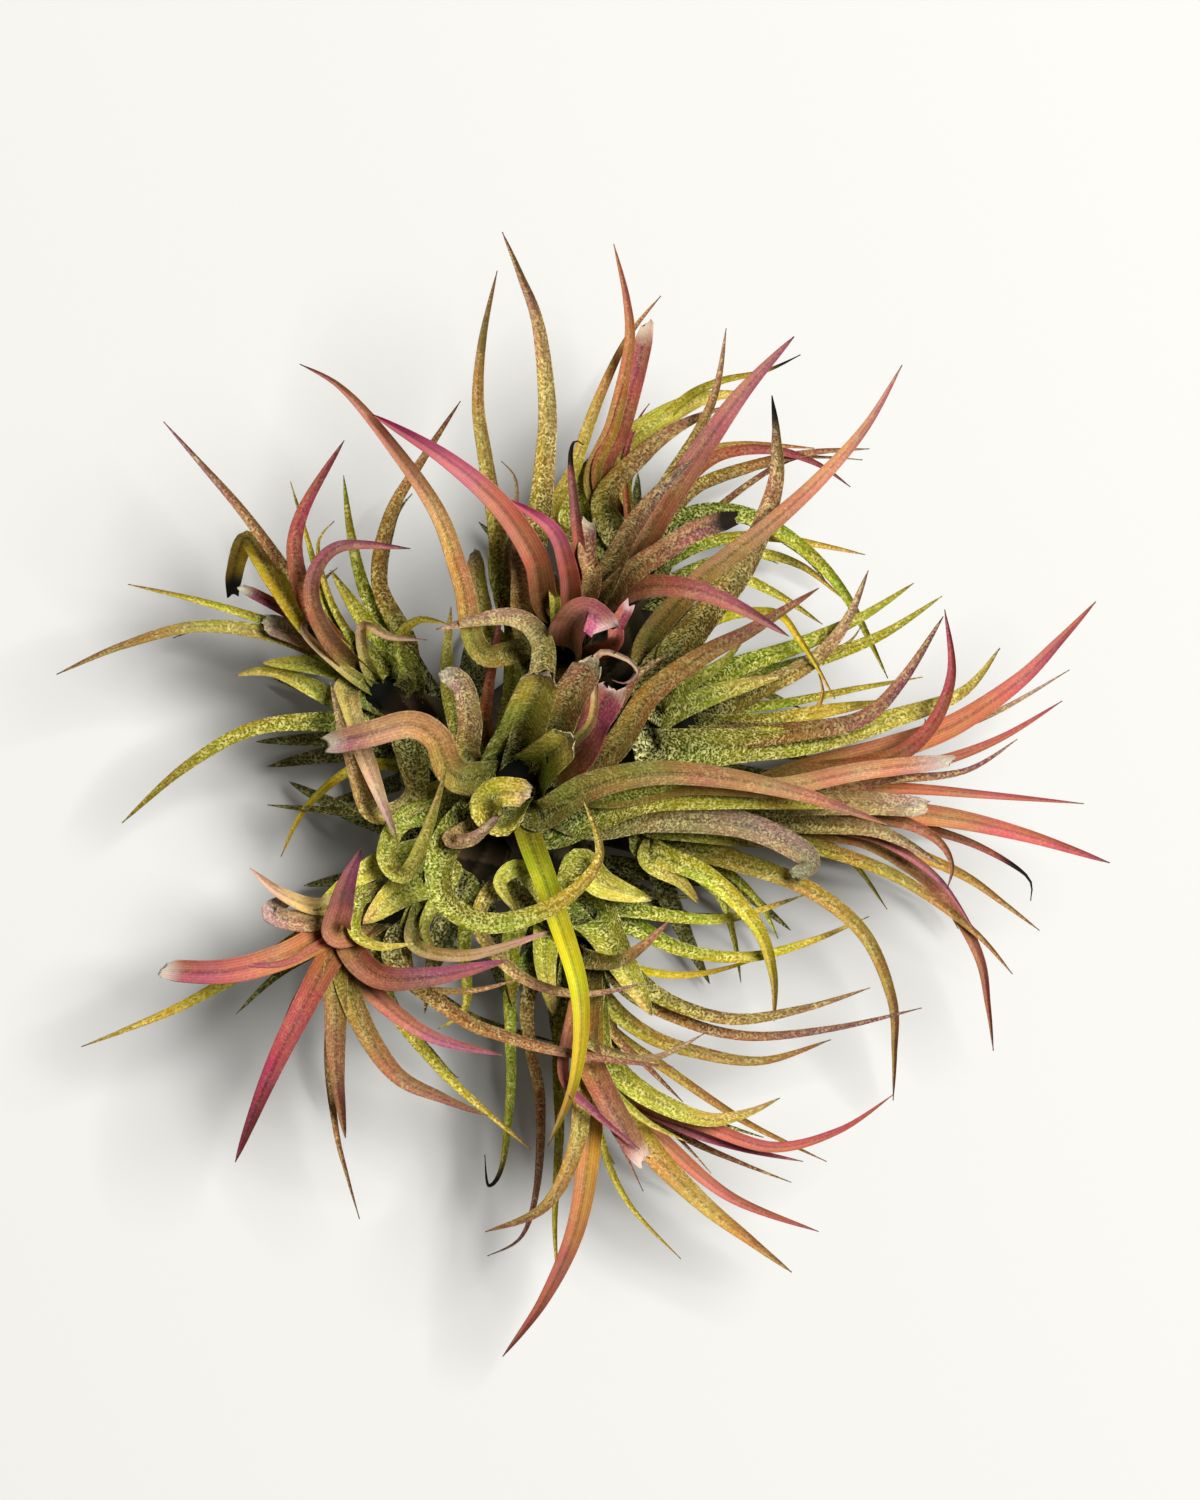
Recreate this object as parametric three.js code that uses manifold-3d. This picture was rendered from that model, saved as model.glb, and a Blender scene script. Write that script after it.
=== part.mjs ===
// Air plant: a clump of eight narrow-leaved rosettes (heads) that grow from one short woody rootstock.
// Millimetres, +Z up. X and Y are the clump's plan from above, and z = 0 is the face that it rests on.
import * as THREE from "three";
import Module from "manifold-3d";

// ---- Driving dimensions, mm ----
const GAP = 0.35; // free space between two heads, and between a head and the rootstock
const LEAST_DEPTH = 0.85; // a blade's depth from its upper face to its keel, at the least
const KEEL_SHARE = 0.34; // the same depth as a share of a broad blade's width
const TAPER_POWER = 2.6; // how late along a pointed blade the taper comes
const TAPER_ROUND = 0.9;
const BLUNT_LOSS = 0.25; // width that a blunt blade has lost at its end
const SHEATH_EXTRA = 0.35; // a blade's sheath is this much wider than the blade
const SHEATH_END = 0.12; // share of a blade's length that the sheath takes
const LONGEST_SPAN = 12; // a longer stretch of blade gets one more station at its middle
const ROOT_LOW = 0.18; // share of the stem's height where the lowest leaf grows
const ROOT_HIGH = 0.92; // and the highest
const LEAN = 0.15; // how far a blade's underside turns outward instead of straight down
const LEAST_CLEARANCE = 1.6; // height of a leaf's centre line over the floor, at the least
const STEM_SIDES = 8;
const STEM_SINK = 7; // length of stem below its base, inside the rootstock
const STEM_FOOT = 0.5; // radius of the sunk end as a share of the stem's
const STEM_TIP = 2.4; // height of the cone that closes the stem
const ROOTSTOCK_CENTRE = [1.2, 3.8];
const ROOTSTOCK_STRETCH = [1, 1.12];
const ROOTSTOCK_SIDES = 16;
const ROOTSTOCK_TOP = 17.6;
// height and radius of each ring of the rootstock, the first being the flat rest face
const ROOTSTOCK_RINGS = [[0, 8.4], [1.6, 9.8], [5, 11.4], [9.4, 11.6], [13, 9.8], [16, 5.4]];
const ROOTSTOCK_LUMP = 0.05; // share of the radius that the bark's lumps take
const ROOTSTOCK_TWIST = 0.25; // share of a side that every other ring is turned by
const BARK_SEED = 77;
const BARK_COLOR = 0x5b4630;
const ROUGHNESS = 0.8; // scaled leaf and dry bark are both matt
const GROWTH_SEED = 4711; // for the lower leaves and the skirt

// ---- Lower leaves: under each second long leaf grows an older, shorter and lower one ----
const LOWER_CROWN = 30; // height of the crown up to which a head has lower leaves
const LOWER_EVERY = 2;
const LOWER_FROM_LENGTH = 24; // plan length of a leaf that has an older one under it
const LOWER_FROM_HEIGHT = 24; // and its height at mid length
const LOWER_LENGTH = 0.74; // share of the upper leaf's length
const LOWER_WIDTH = 0.85; // share of its width
const LEAST_WIDTH = 1.2; // and the narrowest that a lower leaf gets
const LOWER_MID = [5, 0.3]; // height at mid length: a fixed part and a share of the upper leaf's
const LOWER_TIP = [2, 0.12];
const LOWER_SPREAD = 3; // seeded difference in height

// ---- Skirt: the oldest leaves, which spread low round the foot of each outer head ----
const SKIRT_COUNT = 6;
const SKIRT_FAN = 2.9; // radians from the first skirt leaf to the last, round the outward direction
const SKIRT_JITTER = 0.7; // share of the space between two that a leaf's direction may move by
const SKIRT_LENGTH = [17, 26];
const SKIRT_WIDTH = [1.8, 2.7];
const SKIRT_MID = [8, 13];
const SKIRT_TIP = [2.6, 6];
const SKIRT_CURL = 4; // how far a tip turns aside
const SKIRT_STEPS = [0.36, 0.7, 1];

// ---- Bending clear: leaves of two heads that cross in plan are lifted or lowered past each other ----
const SAMPLE = 1.5; // longest step between two samples of a centre line
const FARTHEST = 9; // samples further apart than this don't touch
const ROUNDS = 400;
const STEP = 0.6; // share of a wanted lift that one round makes
const SETTLED = 0.02; // shortfall at which the bending is done
const BEND_REACH = 0.22; // share of the leaf's length that bends with a lifted sample
const LEAST_GAIN = 0.15; // limits a lift close to the root, which stays where it is
const EDGE_TILT = 0.08; // a tilted blade's edge rises by this share of its width
const STEEPEST = 3;

// ---- Fusing: a solid that touches itself along an edge is made again with small shifts ----
const WELDS = [1e-3, 1e-4]; // mm
const NUDGE = 0.12; // widest difference in height between two shifted blades
const TRIES = 40;

// ---- Leaves, read off the plan ----
// Each leaf is [end, width, height at mid length, height at tip, then plan points from crown to tip].
// The end is "p" for pointed or "b" for blunt.
const HEADS = {
  head_centre: {
    base: [-3, 1.5, 13], crown: [-3, 3.5, 31], stem: [4.5, 3.0], color: 0x8d8a3c,
    leaves: [
      ["b", 5.2, 47, 57, [-2.6, 7], [-1.2, 11], [0.6, 15.6]],
      ["b", 3.8, 46, 54, [1.6, 8.5], [3.6, 12.5], [6.6, 17.2]],
      ["b", 4.2, 40, 47, [4, 5.5], [6.4, 9.8], [9.2, 14]],
      ["p", 1.1, 50, 46, [6, 9], [7, 17.6], [10.4, 17.6], [12.2, 15.8], [10.6, 14.5], [8.8, 15]],
      ["p", 1.6, 42, 46, [8, 9.5], [12.4, 15.6], [16, 18.2]],
      ["b", 4.6, 43, 50, [-1.8, 2.8], [0.8, 5.2], [3.8, 7.6]],
      ["b", 3.4, 43, 46, [-4.4, -2.2], [-6.6, -1], [-5, 1], [-1, 0.8]],
      ["p", 3.0, 45, 42, [8, 5.5], [13.6, 13], [20, 17.8], [26.4, 21.2], [34.6, 26.3]],
      ["p", 3.0, 46, 47, [-0.5, -2], [6, 1.6], [14, 3.4], [23, 2.8], [32, 0.9], [43.4, -3.1]],
      ["p", 2.4, 43, 46, [8, 0.5], [18, 1.9], [30, 1.7], [40, 3.7], [51, 4.9]],
      ["p", 4.3, 39, 39, [0.5, -2.6], [7, -1.2], [14, 0.6], [24, 0.4], [36, -0.9]],
      ["b", 3.4, 38, 33, [6, -2.6], [14, -2.2], [25, -3], [32, -6], [33.6, -8], [31.4, -9.5]],
      ["b", 2.9, 42, 47, [-8.7, 4.6], [-8.6, 10], [-9.6, 14.4], [-12, 15.8]],
      ["b", 2.3, 46, 45, [-10.2, 3], [-12.8, 7.8], [-16, 9.4], [-21, 8.2], [-26.4, 6.9]],
      ["p", 2.6, 35, 50, [-10, -1], [-17, -2.4], [-19.2, -7], [-16.8, -9.2], [-14, -4], [-11.4, 3.9]],
      ["p", 2.8, 47, 46, [-11.2, -5], [-11.8, -12], [-6, -15.1], [2, -12.8], [7.4, -7], [5.4, 0.3]],
      ["p", 2.3, 41, 44, [-7, -2.4], [-11, -4.8], [-8, -4.6], [-3.9, -0.7]],
      ["p", 2.5, 51, 55, [-1.4, 8], [0, 14], [0.3, 19.6], [-3.6, 22.6], [-12.6, 21]],
      ["p", 1.5, 38, 44, [-6.6, 8], [-6.4, 13.4], [-5.4, 19], [-4.6, 25]],
      ["p", 2.6, 33, 40, [-4, 8], [-3.4, 14], [-3.6, 20], [-4.4, 26]],
      ["p", 2.4, 31, 38, [-9, 7], [-11, 12], [-11.6, 17], [-11, 24]],
      ["p", 2.1, 43, 37, [-1.5, -4], [1.6, -12.6], [5, -24], [4.4, -34.4], [1, -43]],
    ],
  },
  head_top: {
    base: [1, 12.6, 15], crown: [5, 24, 41], stem: [4.2, 2.6], color: 0xc4716a,
    leaves: [
      ["p", 2.5, 62, 44, [-1.6, 24], [0.2, 36], [1.1, 48], [0, 58], [-4.6, 70.3]],
      ["p", 2.0, 52, 34, [-3.4, 23], [-5.4, 35], [-7.5, 49], [-7, 57], [-5.3, 66]],
      ["p", 2.3, 62, 48, [-6.6, 18], [-9.4, 27], [-12.4, 35.4], [-19, 44.8], [-24.4, 50.8], [-29.5, 53.8]],
      ["p", 2.9, 68, 60, [0.9, 24], [-0.4, 29.6], [-4.6, 35.9], [-11.4, 41.7], [-20.3, 47.2]],
      ["p", 2.4, 60, 62, [3.9, 24], [3.5, 28.6], [1.6, 33.2], [-3.8, 36.8]],
      ["p", 1.6, 55, 60, [4.9, 29], [4.6, 34], [3.9, 41.4], [4.4, 43.9], [5.5, 43.4]],
      ["b", 2.4, 49, 54, [6.3, 26], [5.9, 30.4], [6.1, 34.4]],
      ["p", 1.1, 50, 56, [-3.6, 27], [-2.9, 34], [-2.8, 39.2], [-4.6, 41.6]],
      ["p", 3.3, 64, 60, [9.6, 27], [15.3, 36], [21.2, 44.7], [25.6, 50.6], [31.2, 56.7]],
      ["p", 2.7, 62, 66, [7.9, 27], [11.4, 33.4], [15, 38], [18.8, 41.6]],
      ["b", 2.7, 58, 59, [10, 26.8], [15, 30.4], [19.4, 33.1], [24.2, 34.6]],
      ["p", 2.7, 60, 52, [7.6, 24.2], [13, 26.2], [19, 25.8], [25, 23.4], [30.7, 20.2]],
      ["b", 4.2, 58, 60, [3.2, 17.6], [3.8, 21], [5.8, 22.8], [8.4, 21]],
      ["b", 2.0, 50, 54, [8.8, 19], [9.6, 21.6], [11.2, 24.2]],
      ["p", 2.8, 50, 56, [-1.6, 21], [-2.4, 28], [-3, 34]],
      ["b", 1.4, 46, 52, [2.1, 22], [1.7, 27.8]],
      ["b", 2.4, 38, 42, [-5.4, 20], [-7.4, 25.4], [-8, 30.8]],
      ["p", 2.2, 36, 40, [-2.4, 22], [-5.4, 27], [-6, 33]],
    ],
  },
  head_back: {
    base: [8.6, 18.4, 13], crown: [13, 32, 23], stem: [4.2, 2.8], color: 0x868a2e,
    leaves: [
      ["p", 3.2, 34, 31, [4.4, 36], [8.4, 42], [14, 46.8], [20, 50], [25.9, 50.9]],
      ["p", 1.7, 38, 33, [1.6, 34], [4.4, 41.6], [7.4, 50], [11, 57.6], [15.1, 62.9]],
      ["p", 1.9, 40, 40, [6.6, 39], [9.2, 47], [11.1, 56], [10.8, 62], [9.2, 69]],
      ["b", 2.5, 37, 40, [7.8, 40], [10, 46], [12, 53], [13.4, 59.2]],
      ["p", 0.9, 33, 33, [10.6, 42], [12.1, 47], [13.7, 49.5]],
      ["p", 1.4, 34, 34, [11, 41], [17, 49], [22, 52], [28, 53.4], [32.5, 55.5]],
      ["p", 2.6, 37, 34, [8, 37], [13, 43.2], [17.6, 46.6], [22.8, 49]],
      ["p", 1.5, 38, 43, [15, 38], [19.8, 46], [22, 51.4], [23.1, 58.4]],
      ["p", 1.4, 31, 26, [15, 38], [20, 43], [25.4, 44.4], [34.4, 44.1]],
      ["p", 1.6, 34, 27, [16, 37], [21.6, 42.6], [28.4, 43.7], [34.4, 42.1], [38.9, 39.2]],
      ["p", 1.6, 31, 30, [16, 35.4], [20, 39.4], [27, 41.9], [34, 43.4], [41.2, 43.9]],
      ["p", 0.9, 28, 27, [24, 38], [31, 42.5], [35.6, 42.9], [40.4, 42.6]],
      ["p", 1.9, 31, 13, [15, 32], [19.4, 35.5], [26, 35.5], [33, 31.4], [38.6, 25.2], [44, 15.3]],
      ["p", 1.5, 28, 18, [15.6, 30], [21, 32.3], [28, 33], [35, 32], [41, 30.9]],
      ["p", 1.6, 27, 16, [16, 27], [21, 29.4], [27, 30.9], [33, 29.3], [38.2, 25.4]],
      ["p", 1.6, 25, 18, [17, 25], [24, 27.8], [29.6, 25.9], [35.6, 22.1]],
    ],
  },
  head_east: {
    base: [12, 6.4, 13], crown: [19, 10.6, 22], stem: [4.2, 2.6], color: 0x7f8f3a,
    leaves: [
      ["p", 3.3, 51, 52, [14, 14], [19.4, 21.6], [25, 28.6], [28.8, 38], [29.1, 44.6], [28.6, 49.8]],
      ["p", 2.5, 55, 55, [13, 18], [18.6, 26], [28, 33.6], [34.2, 39.2], [40, 45.8], [44.5, 53.4]],
      ["p", 2.2, 33, 31, [16, 12], [24, 16.4], [32, 19.2], [40, 22.8], [46.7, 27.1]],
      ["p", 2.0, 30, 29, [18, 11.4], [27, 15.2], [36, 18], [43, 20.8], [50.3, 25.5]],
      ["p", 2.3, 35, 35, [20, 10.6], [28, 14.2], [34, 17.4], [38, 22], [40.9, 28.6]],
      ["p", 1.2, 27, 33, [24, 13], [34, 17.6], [38.4, 19.6], [40.2, 21.9]],
      ["p", 1.2, 26, 25, [23, 11], [31, 12.2], [40, 14], [48, 15.4]],
      ["p", 1.2, 29, 36, [24, 9.8], [33, 10.8], [35.2, 13], [34.6, 16.2]],
      ["p", 2.4, 33, 30, [20, 8.8], [28, 9.6], [36, 11.2], [43.4, 12.4]],
      ["p", 1.7, 30, 29, [18, 8], [26, 8.6], [31, 8.2], [37.4, 8.4]],
      ["p", 3.2, 34, 33, [14, 6.4], [24, 6.7], [34, 7.4], [44, 10.2], [52.6, 13.4], [57.4, 19]],
      ["p", 2.3, 38, 42, [24, 8.2], [34, 8.8], [40.4, 10.4], [45, 15], [50, 22.8]],
      ["p", 2.8, 31, 34, [14, 10], [20, 12.6], [25, 14.2], [30.6, 15.6]],
      ["p", 2.0, 33, 38, [14.6, 12], [19.6, 15.2], [23, 17.4], [25.3, 19.9]],
      ["p", 1.9, 29, 32, [18, 13], [26, 16.4], [31, 18.6], [35.4, 20.1]],
      ["p", 1.3, 38, 34, [20, 21], [28.6, 23.4], [32.4, 19.8], [36.8, 12.6]],
    ],
  },
  head_right: {
    base: [13, -3, 12], crown: [23, -1.6, 20], stem: [4.2, 2.8], color: 0xc2603f,
    leaves: [
      ["p", 2.4, 36, 44, [34, 3.4], [43, 5], [48.4, 9], [51, 15.6], [50.1, 23.6]],
      ["p", 3.2, 33, 32, [32, 3], [43.6, 6.4], [51.6, 9.4], [59.6, 14.8], [69.4, 24.8]],
      ["p", 1.3, 29, 28, [34, 3], [48, 7.6], [57, 11], [66.3, 16.3]],
      ["p", 1.8, 31, 30, [32, 1.8], [44, 3.8], [51, 5.2], [58, 8], [65.3, 12.4]],
      ["p", 1.5, 29, 27, [30, 1.2], [43, 2.6], [53, 3.6], [59.8, 7.6]],
      ["p", 1.6, 27, 24, [30, 0.6], [43, 1.5], [55, 0.7], [68.3, -0.5]],
      ["p", 3.0, 31, 27, [28, -1.2], [42, -1.4], [51, -2.2], [61, -4.5], [71.4, -7.9]],
      ["p", 1.6, 27, 24, [32, -2], [45, -2.8], [54, -5.4], [61, -9.5], [61.6, -12.7]],
      ["p", 1.9, 25, 20, [32, -3], [45, -6], [53, -9.4], [62.9, -16.5]],
      ["p", 2.1, 36, 38, [34, -1], [44, -2.4], [49.2, -4.8], [51.2, -8], [50.6, -11]],
      ["p", 2.1, 33, 17, [30, -3], [42, -5.6], [50, -11.4], [54.8, -19.2], [57.2, -31.8]],
      ["p", 1.4, 35, 33, [31, -2.4], [43, -5.2], [49.6, -9.8], [54.4, -16.6]],
      ["p", 1.7, 34, 25, [24, -3.6], [35, -6], [45, -9.8], [54, -16.2], [59.3, -21.9]],
      ["p", 2.4, 36, 36, [22, -1.4], [32, -2.8], [42, -3.8], [50, -8]],
      ["p", 1.2, 24, 16, [24, -3], [34, -4.7], [39.4, -8], [43.8, -13.9]],
      ["b", 3.0, 38, 41, [25, -0.4], [34, -0.3], [42, -0.4], [47.9, -0.9]],
      ["p", 2.5, 37, 37, [25, 0], [33, 1], [44.6, 2.6]],
      ["p", 2.0, 31, 32, [20, -1.2], [28, -0.9], [38.6, -2]],
      ["p", 2.2, 31, 29, [14, -3.4], [20, -4.4], [29.4, -5.9]],
      ["p", 2.1, 30, 8, [15, -4.6], [24, -7.5], [33, -10.8], [40.4, -16.6], [44.2, -25], [44.8, -38.4]],
      ["p", 2.4, 30, 12, [13, -5.6], [21, -9.6], [27, -15.6], [29.3, -22], [29.6, -28.2]],
      ["p", 2.9, 29, 26, [13.6, -7], [17.6, -10.2], [19.9, -13]],
      ["p", 1.3, 24, 18, [16, -5.4], [22.6, -8.4], [27.4, -12.8], [30, -17.6]],
      ["p", 1.2, 20, 10, [16, -6.4], [22.4, -12], [24.4, -17.4], [25.4, -23.3]],
    ],
  },
  head_bottom: {
    base: [2, -7, 12], crown: [6.4, -20, 21], stem: [4.3, 2.8], color: 0xb0764a,
    leaves: [
      ["p", 1.5, 24, 22, [10, -13.6], [17, -14.7], [24, -14.8], [33.2, -12]],
      ["p", 1.6, 22, 21, [11, -15.6], [18, -18.9], [26, -19.8], [34, -17.8], [41.4, -14.7]],
      ["p", 1.1, 17, 14, [10, -20], [15, -22], [21, -21.9], [28.4, -19.9]],
      ["p", 1.2, 20, 19, [7, -11], [13, -12], [19.6, -12.3]],
      ["p", 1.7, 33, 37, [5, -19.6], [9.4, -20.2], [13, -18], [16.1, -15]],
      ["p", 1.7, 25, 25, [9.6, -20], [15.4, -24.9], [24, -27.5], [33, -26.2], [41.4, -23.6]],
      ["p", 1.4, 23, 22, [10, -23], [17, -27.4], [26, -29.7], [37, -28.7], [48, -26.2]],
      ["p", 1.9, 26, 25, [7.4, -24], [13, -29.2], [20, -31.7], [28, -32.7], [36.5, -30.1]],
      ["p", 1.4, 36, 39, [4.6, -28], [8.6, -31.3], [14.4, -31.9], [20.5, -28.9]],
      ["p", 1.4, 24, 23, [8, -28], [16.4, -34.2], [25, -40], [36, -45.5]],
      ["p", 1.3, 25, 26, [9, -29], [13.4, -33.4], [17.9, -37.9]],
      ["p", 3.0, 31, 31, [6.6, -30], [12, -36], [20, -39.7], [25.4, -39.2], [30, -37.2]],
      ["p", 2.0, 28, 30, [9, -34.4], [20, -40.5], [29, -43.4], [37.4, -41.3], [44.2, -36.8]],
      ["p", 1.9, 26, 25, [9, -35], [17, -40.6], [25, -43.6], [33, -45.4]],
      ["p", 1.4, 22, 21, [9.6, -37], [18, -42.4], [25, -45.6], [31.6, -48.2]],
      ["p", 1.1, 22, 20, [12, -38], [17.4, -42.6], [21.5, -47.1]],
      ["p", 1.5, 31, 29, [7.6, -34], [12.6, -39.6], [18.4, -42.8]],
      ["p", 2.3, 26, 23, [8.4, -36], [15.6, -43], [24, -49.9], [35, -54.3]],
      ["p", 3.3, 28, 20, [7.8, -34], [13.4, -43.2], [20, -50.2], [26.4, -55.4], [31.7, -59.6]],
      ["b", 3.3, 37, 40, [5.8, -31], [8.4, -37], [12.9, -44.8]],
      ["p", 1.5, 40, 41, [3, -34], [6.8, -38.6], [12.4, -43.2]],
      ["p", 0.9, 30, 28, [7.8, -38], [10.4, -43.6], [12.9, -49]],
      ["p", 1.3, 24, 20, [6.4, -34], [7.6, -42.6], [11, -50.6], [17.7, -57.9]],
      ["p", 3.0, 35, 17, [6.2, -31], [6.2, -42], [4.6, -53], [0.6, -62.4], [-4.8, -70.4]],
      ["p", 2.5, 39, 36, [5.4, -33], [4.6, -42.6], [0.6, -50.4], [-6.8, -53.7]],
      ["p", 1.4, 24, 15, [2.4, -30], [2.4, -42], [1.8, -53], [2.2, -61.4]],
      ["p", 1.4, 24, 13, [-1.6, -25], [0, -38], [-0.4, -48.4], [-2.4, -55.2], [-6.8, -57.9]],
      ["p", 1.4, 24, 13, [-3, -22], [-3.7, -36], [-4.8, -46], [-6.6, -48.8], [-7.1, -45]],
      ["p", 3.3, 28, 29, [6.4, -14], [10.4, -20.6], [14, -27]],
      ["p", 3.6, 28, 27, [5, -8.4], [8, -10.6], [14, -12.6]],
      ["p", 2.3, 31, 30, [-2.4, -8.6], [-5, -10.4], [-2.6, -14.4]],
      ["p", 1.8, 31, 32, [-5.4, -11], [-7.6, -16], [-2.4, -22], [5, -24.2], [13.4, -22.8]],
      ["p", 2.6, 24, 27, [1.6, -15], [0.6, -20], [1.6, -27]],
      ["p", 2.4, 24, 24, [-1, -13], [-3.6, -18], [-3.4, -26]],
    ],
  },
  head_lower_left: {
    base: [-8.4, -6.6, 12], crown: [-20.4, -14.4, 29], stem: [4.2, 2.6], color: 0xb4683e,
    leaves: [
      ["p", 2.7, 43, 54, [-24.9, -16.4], [-24.5, -13], [-23.4, -9.4], [-21.7, -5.8]],
      ["b", 2.5, 40, 37, [-26, -16.4], [-32, -19.4], [-39, -21.2], [-47, -21.1]],
      ["p", 1.2, 38, 40, [-26.8, -17.6], [-32, -20.2], [-38.4, -20.2]],
      ["p", 1.7, 30, 25, [-26, -15], [-35, -20.4], [-46, -26.3], [-57.6, -31]],
      ["p", 1.5, 27, 24, [-26, -17.6], [-33, -22], [-38.2, -26.9]],
      ["p", 2.6, 41, 30, [-25, -18.2], [-30, -27], [-34, -35.4], [-38.1, -45.3]],
      ["p", 1.6, 34, 29, [-25.6, -18.6], [-30, -24.4], [-33.1, -30.6]],
      ["p", 2.7, 38, 27, [-24.6, -18.6], [-25.3, -27], [-25.2, -34.6], [-24.4, -42.4]],
      ["p", 1.2, 31, 20, [-24.8, -20], [-26.4, -31], [-25.6, -41], [-22.8, -52.9]],
      ["p", 2.5, 39, 33, [-24, -18.8], [-22.8, -26], [-18, -33.8], [-6.4, -39.4]],
      ["p", 1.6, 28, 25, [-20, -19], [-18.6, -26], [-12, -34.2], [-0.9, -44.1]],
      ["p", 2.0, 38, 37, [-23.6, -18.6], [-20.6, -24], [-13.6, -29.2], [-4.6, -31.7]],
      ["p", 2.6, 43, 46, [-23.6, -17.4], [-20, -21.7], [-13, -21.7], [-3.9, -19.7]],
      ["p", 1.8, 37, 38, [-22, -12], [-23, -16.2], [-20, -18.1], [-15.6, -17.8]],
      ["p", 1.6, 37, 40, [-15, -13], [-15.6, -18], [-8.6, -19.2], [2, -16]],
      ["p", 1.1, 31, 33, [-17, -16], [-15.4, -22.8], [-9, -23.8], [-2.4, -22.3]],
      ["p", 1.7, 38, 42, [-22, -12], [-27.4, -13.2], [-32, -11.5], [-35.8, -8.4]],
      ["b", 1.8, 37, 37, [-23, -13.6], [-29, -15], [-33.4, -14], [-31.6, -12.4]],
      ["p", 2.8, 31, 34, [-14.3, -7.2], [-20, -8], [-27.6, -12.8]],
      ["p", 4.0, 31, 35, [-13.6, -9.6], [-17.4, -11.4], [-22, -15.4]],
      ["p", 1.8, 28, 26, [-12.4, -9.6], [-16.4, -14.6], [-18, -21]],
      ["p", 2.0, 30, 29, [-11, -9], [-14.4, -15.6], [-12.4, -20]],
      ["p", 1.7, 38, 42, [-16.6, -14], [-18.3, -20], [-10, -26.9], [2, -31], [16.6, -33]],
      ["p", 2.0, 24, 20, [-10.6, -10], [-13.2, -18], [-14.6, -27]],
      ["p", 1.8, 22, 18, [-9, -11], [-9.6, -18], [-9.4, -26], [-13, -29]],
    ],
  },
  head_left: {
    base: [-10.4, 6.4, 12], crown: [-21.4, 14.6, 26], stem: [4.2, 2.8], color: 0x93863a,
    leaves: [
      ["p", 1.6, 40, 45, [-27.6, 22], [-31, 27.8], [-36.6, 35.6], [-46.4, 46.8]],
      ["b", 2.3, 40, 20, [-28.4, 21.4], [-33, 27.6], [-36.4, 32.4], [-38.2, 29], [-38.8, 25.6]],
      ["b", 1.6, 35, 35, [-27, 20.4], [-32, 23.8], [-37.3, 26.6]],
      ["p", 2.1, 45, 48, [-27.2, 22], [-30, 29], [-29.2, 35.4], [-24, 44.4]],
      ["p", 1.0, 39, 43, [-26.4, 24], [-28.6, 32], [-30.8, 39.5]],
      ["p", 1.0, 38, 42, [-26, 25], [-27.4, 31.6], [-25.4, 34.6]],
      ["p", 1.9, 48, 51, [-26.4, 20.6], [-28, 26.6], [-24.6, 31.2], [-15.8, 31]],
      ["p", 1.8, 31, 36, [-18.6, 19], [-21.8, 26], [-23.5, 33], [-24.4, 40.4]],
      ["p", 1.9, 35, 40, [-16.6, 19], [-20, 27], [-18.6, 35.4], [-9.8, 49.5]],
      ["p", 2.7, 31, 36, [-17, 17], [-21.6, 22], [-26, 28.6]],
      ["p", 2.6, 32, 38, [-18.4, 16], [-24, 20], [-27.8, 26]],
      ["b", 3.1, 31, 34, [-19.6, 14.4], [-27, 19.4], [-34.4, 22.2]],
      ["p", 1.8, 33, 29, [-22, 15.4], [-31, 20], [-42, 21.7], [-52, 19.3], [-60.5, 15.7]],
      ["p", 1.3, 32, 28, [-23, 17.4], [-34, 22.3], [-42.6, 24.9], [-51.6, 27]],
      ["p", 1.3, 38, 38, [-24, 16], [-29, 20.6], [-28.4, 22.2], [-25.8, 19]],
      ["p", 1.4, 37, 39, [-21.6, 17], [-22, 21.6], [-18.4, 20.3], [-14, 19.9]],
      ["p", 1.6, 35, 38, [-16.6, 15], [-17.4, 20], [-15, 22.4], [-11.4, 21.9]],
      ["p", 2.6, 29, 28, [-19, 13], [-26, 16.6], [-34.8, 17.2]],
      ["p", 1.9, 26, 25, [-18, 11], [-25, 12.4], [-33, 16], [-38.3, 15.6]],
      ["p", 1.9, 26, 15, [-17.6, 9], [-26, 9.8], [-36, 8.9], [-44.8, 4], [-53, -3]],
      ["p", 2.2, 20, 16, [-17, 7.2], [-26, 7.6], [-36, 7.3]],
      ["p", 1.3, 20, 12, [-15.6, 4.6], [-23, 4.2], [-29.6, -1], [-33, -7.3]],
      ["p", 1.7, 20, 15, [-13, 1], [-22, -1.4], [-34.6, -0.7]],
      ["p", 3.0, 23, 23, [-11.6, 2.6], [-15, 0.6], [-19, -1.4]],
      ["p", 2.6, 33, 41, [-15.6, 1], [-20.8, -1.6], [-23.4, 5], [-25.9, 14.6]],
      ["p", 1.6, 36, 33, [-19.4, 12], [-24, 13.8], [-22.6, 8], [-17.8, -4.8]],
    ],
  },
};

// ---- Lower leaves and skirt ----
// A small seeded generator, so that every build draws the same numbers.
function randomSource(seed) {
  let state = seed;
  return () => {
    state = (state * 1664525 + 1013904223) % 4294967296;
    return state / 4294967296;
  };
}

const planDistance = (a, b) => Math.hypot(b[0] - a[0], b[1] - a[1]);

// Share of the whole plan length at each point of a line.
function shares(points) {
  const run = [0];
  for (let i = 1; i < points.length; i++) run.push(run[i - 1] + planDistance(points[i - 1], points[i]));
  return { at: run.map((r) => r / run[run.length - 1]), length: run[run.length - 1] };
}

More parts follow.
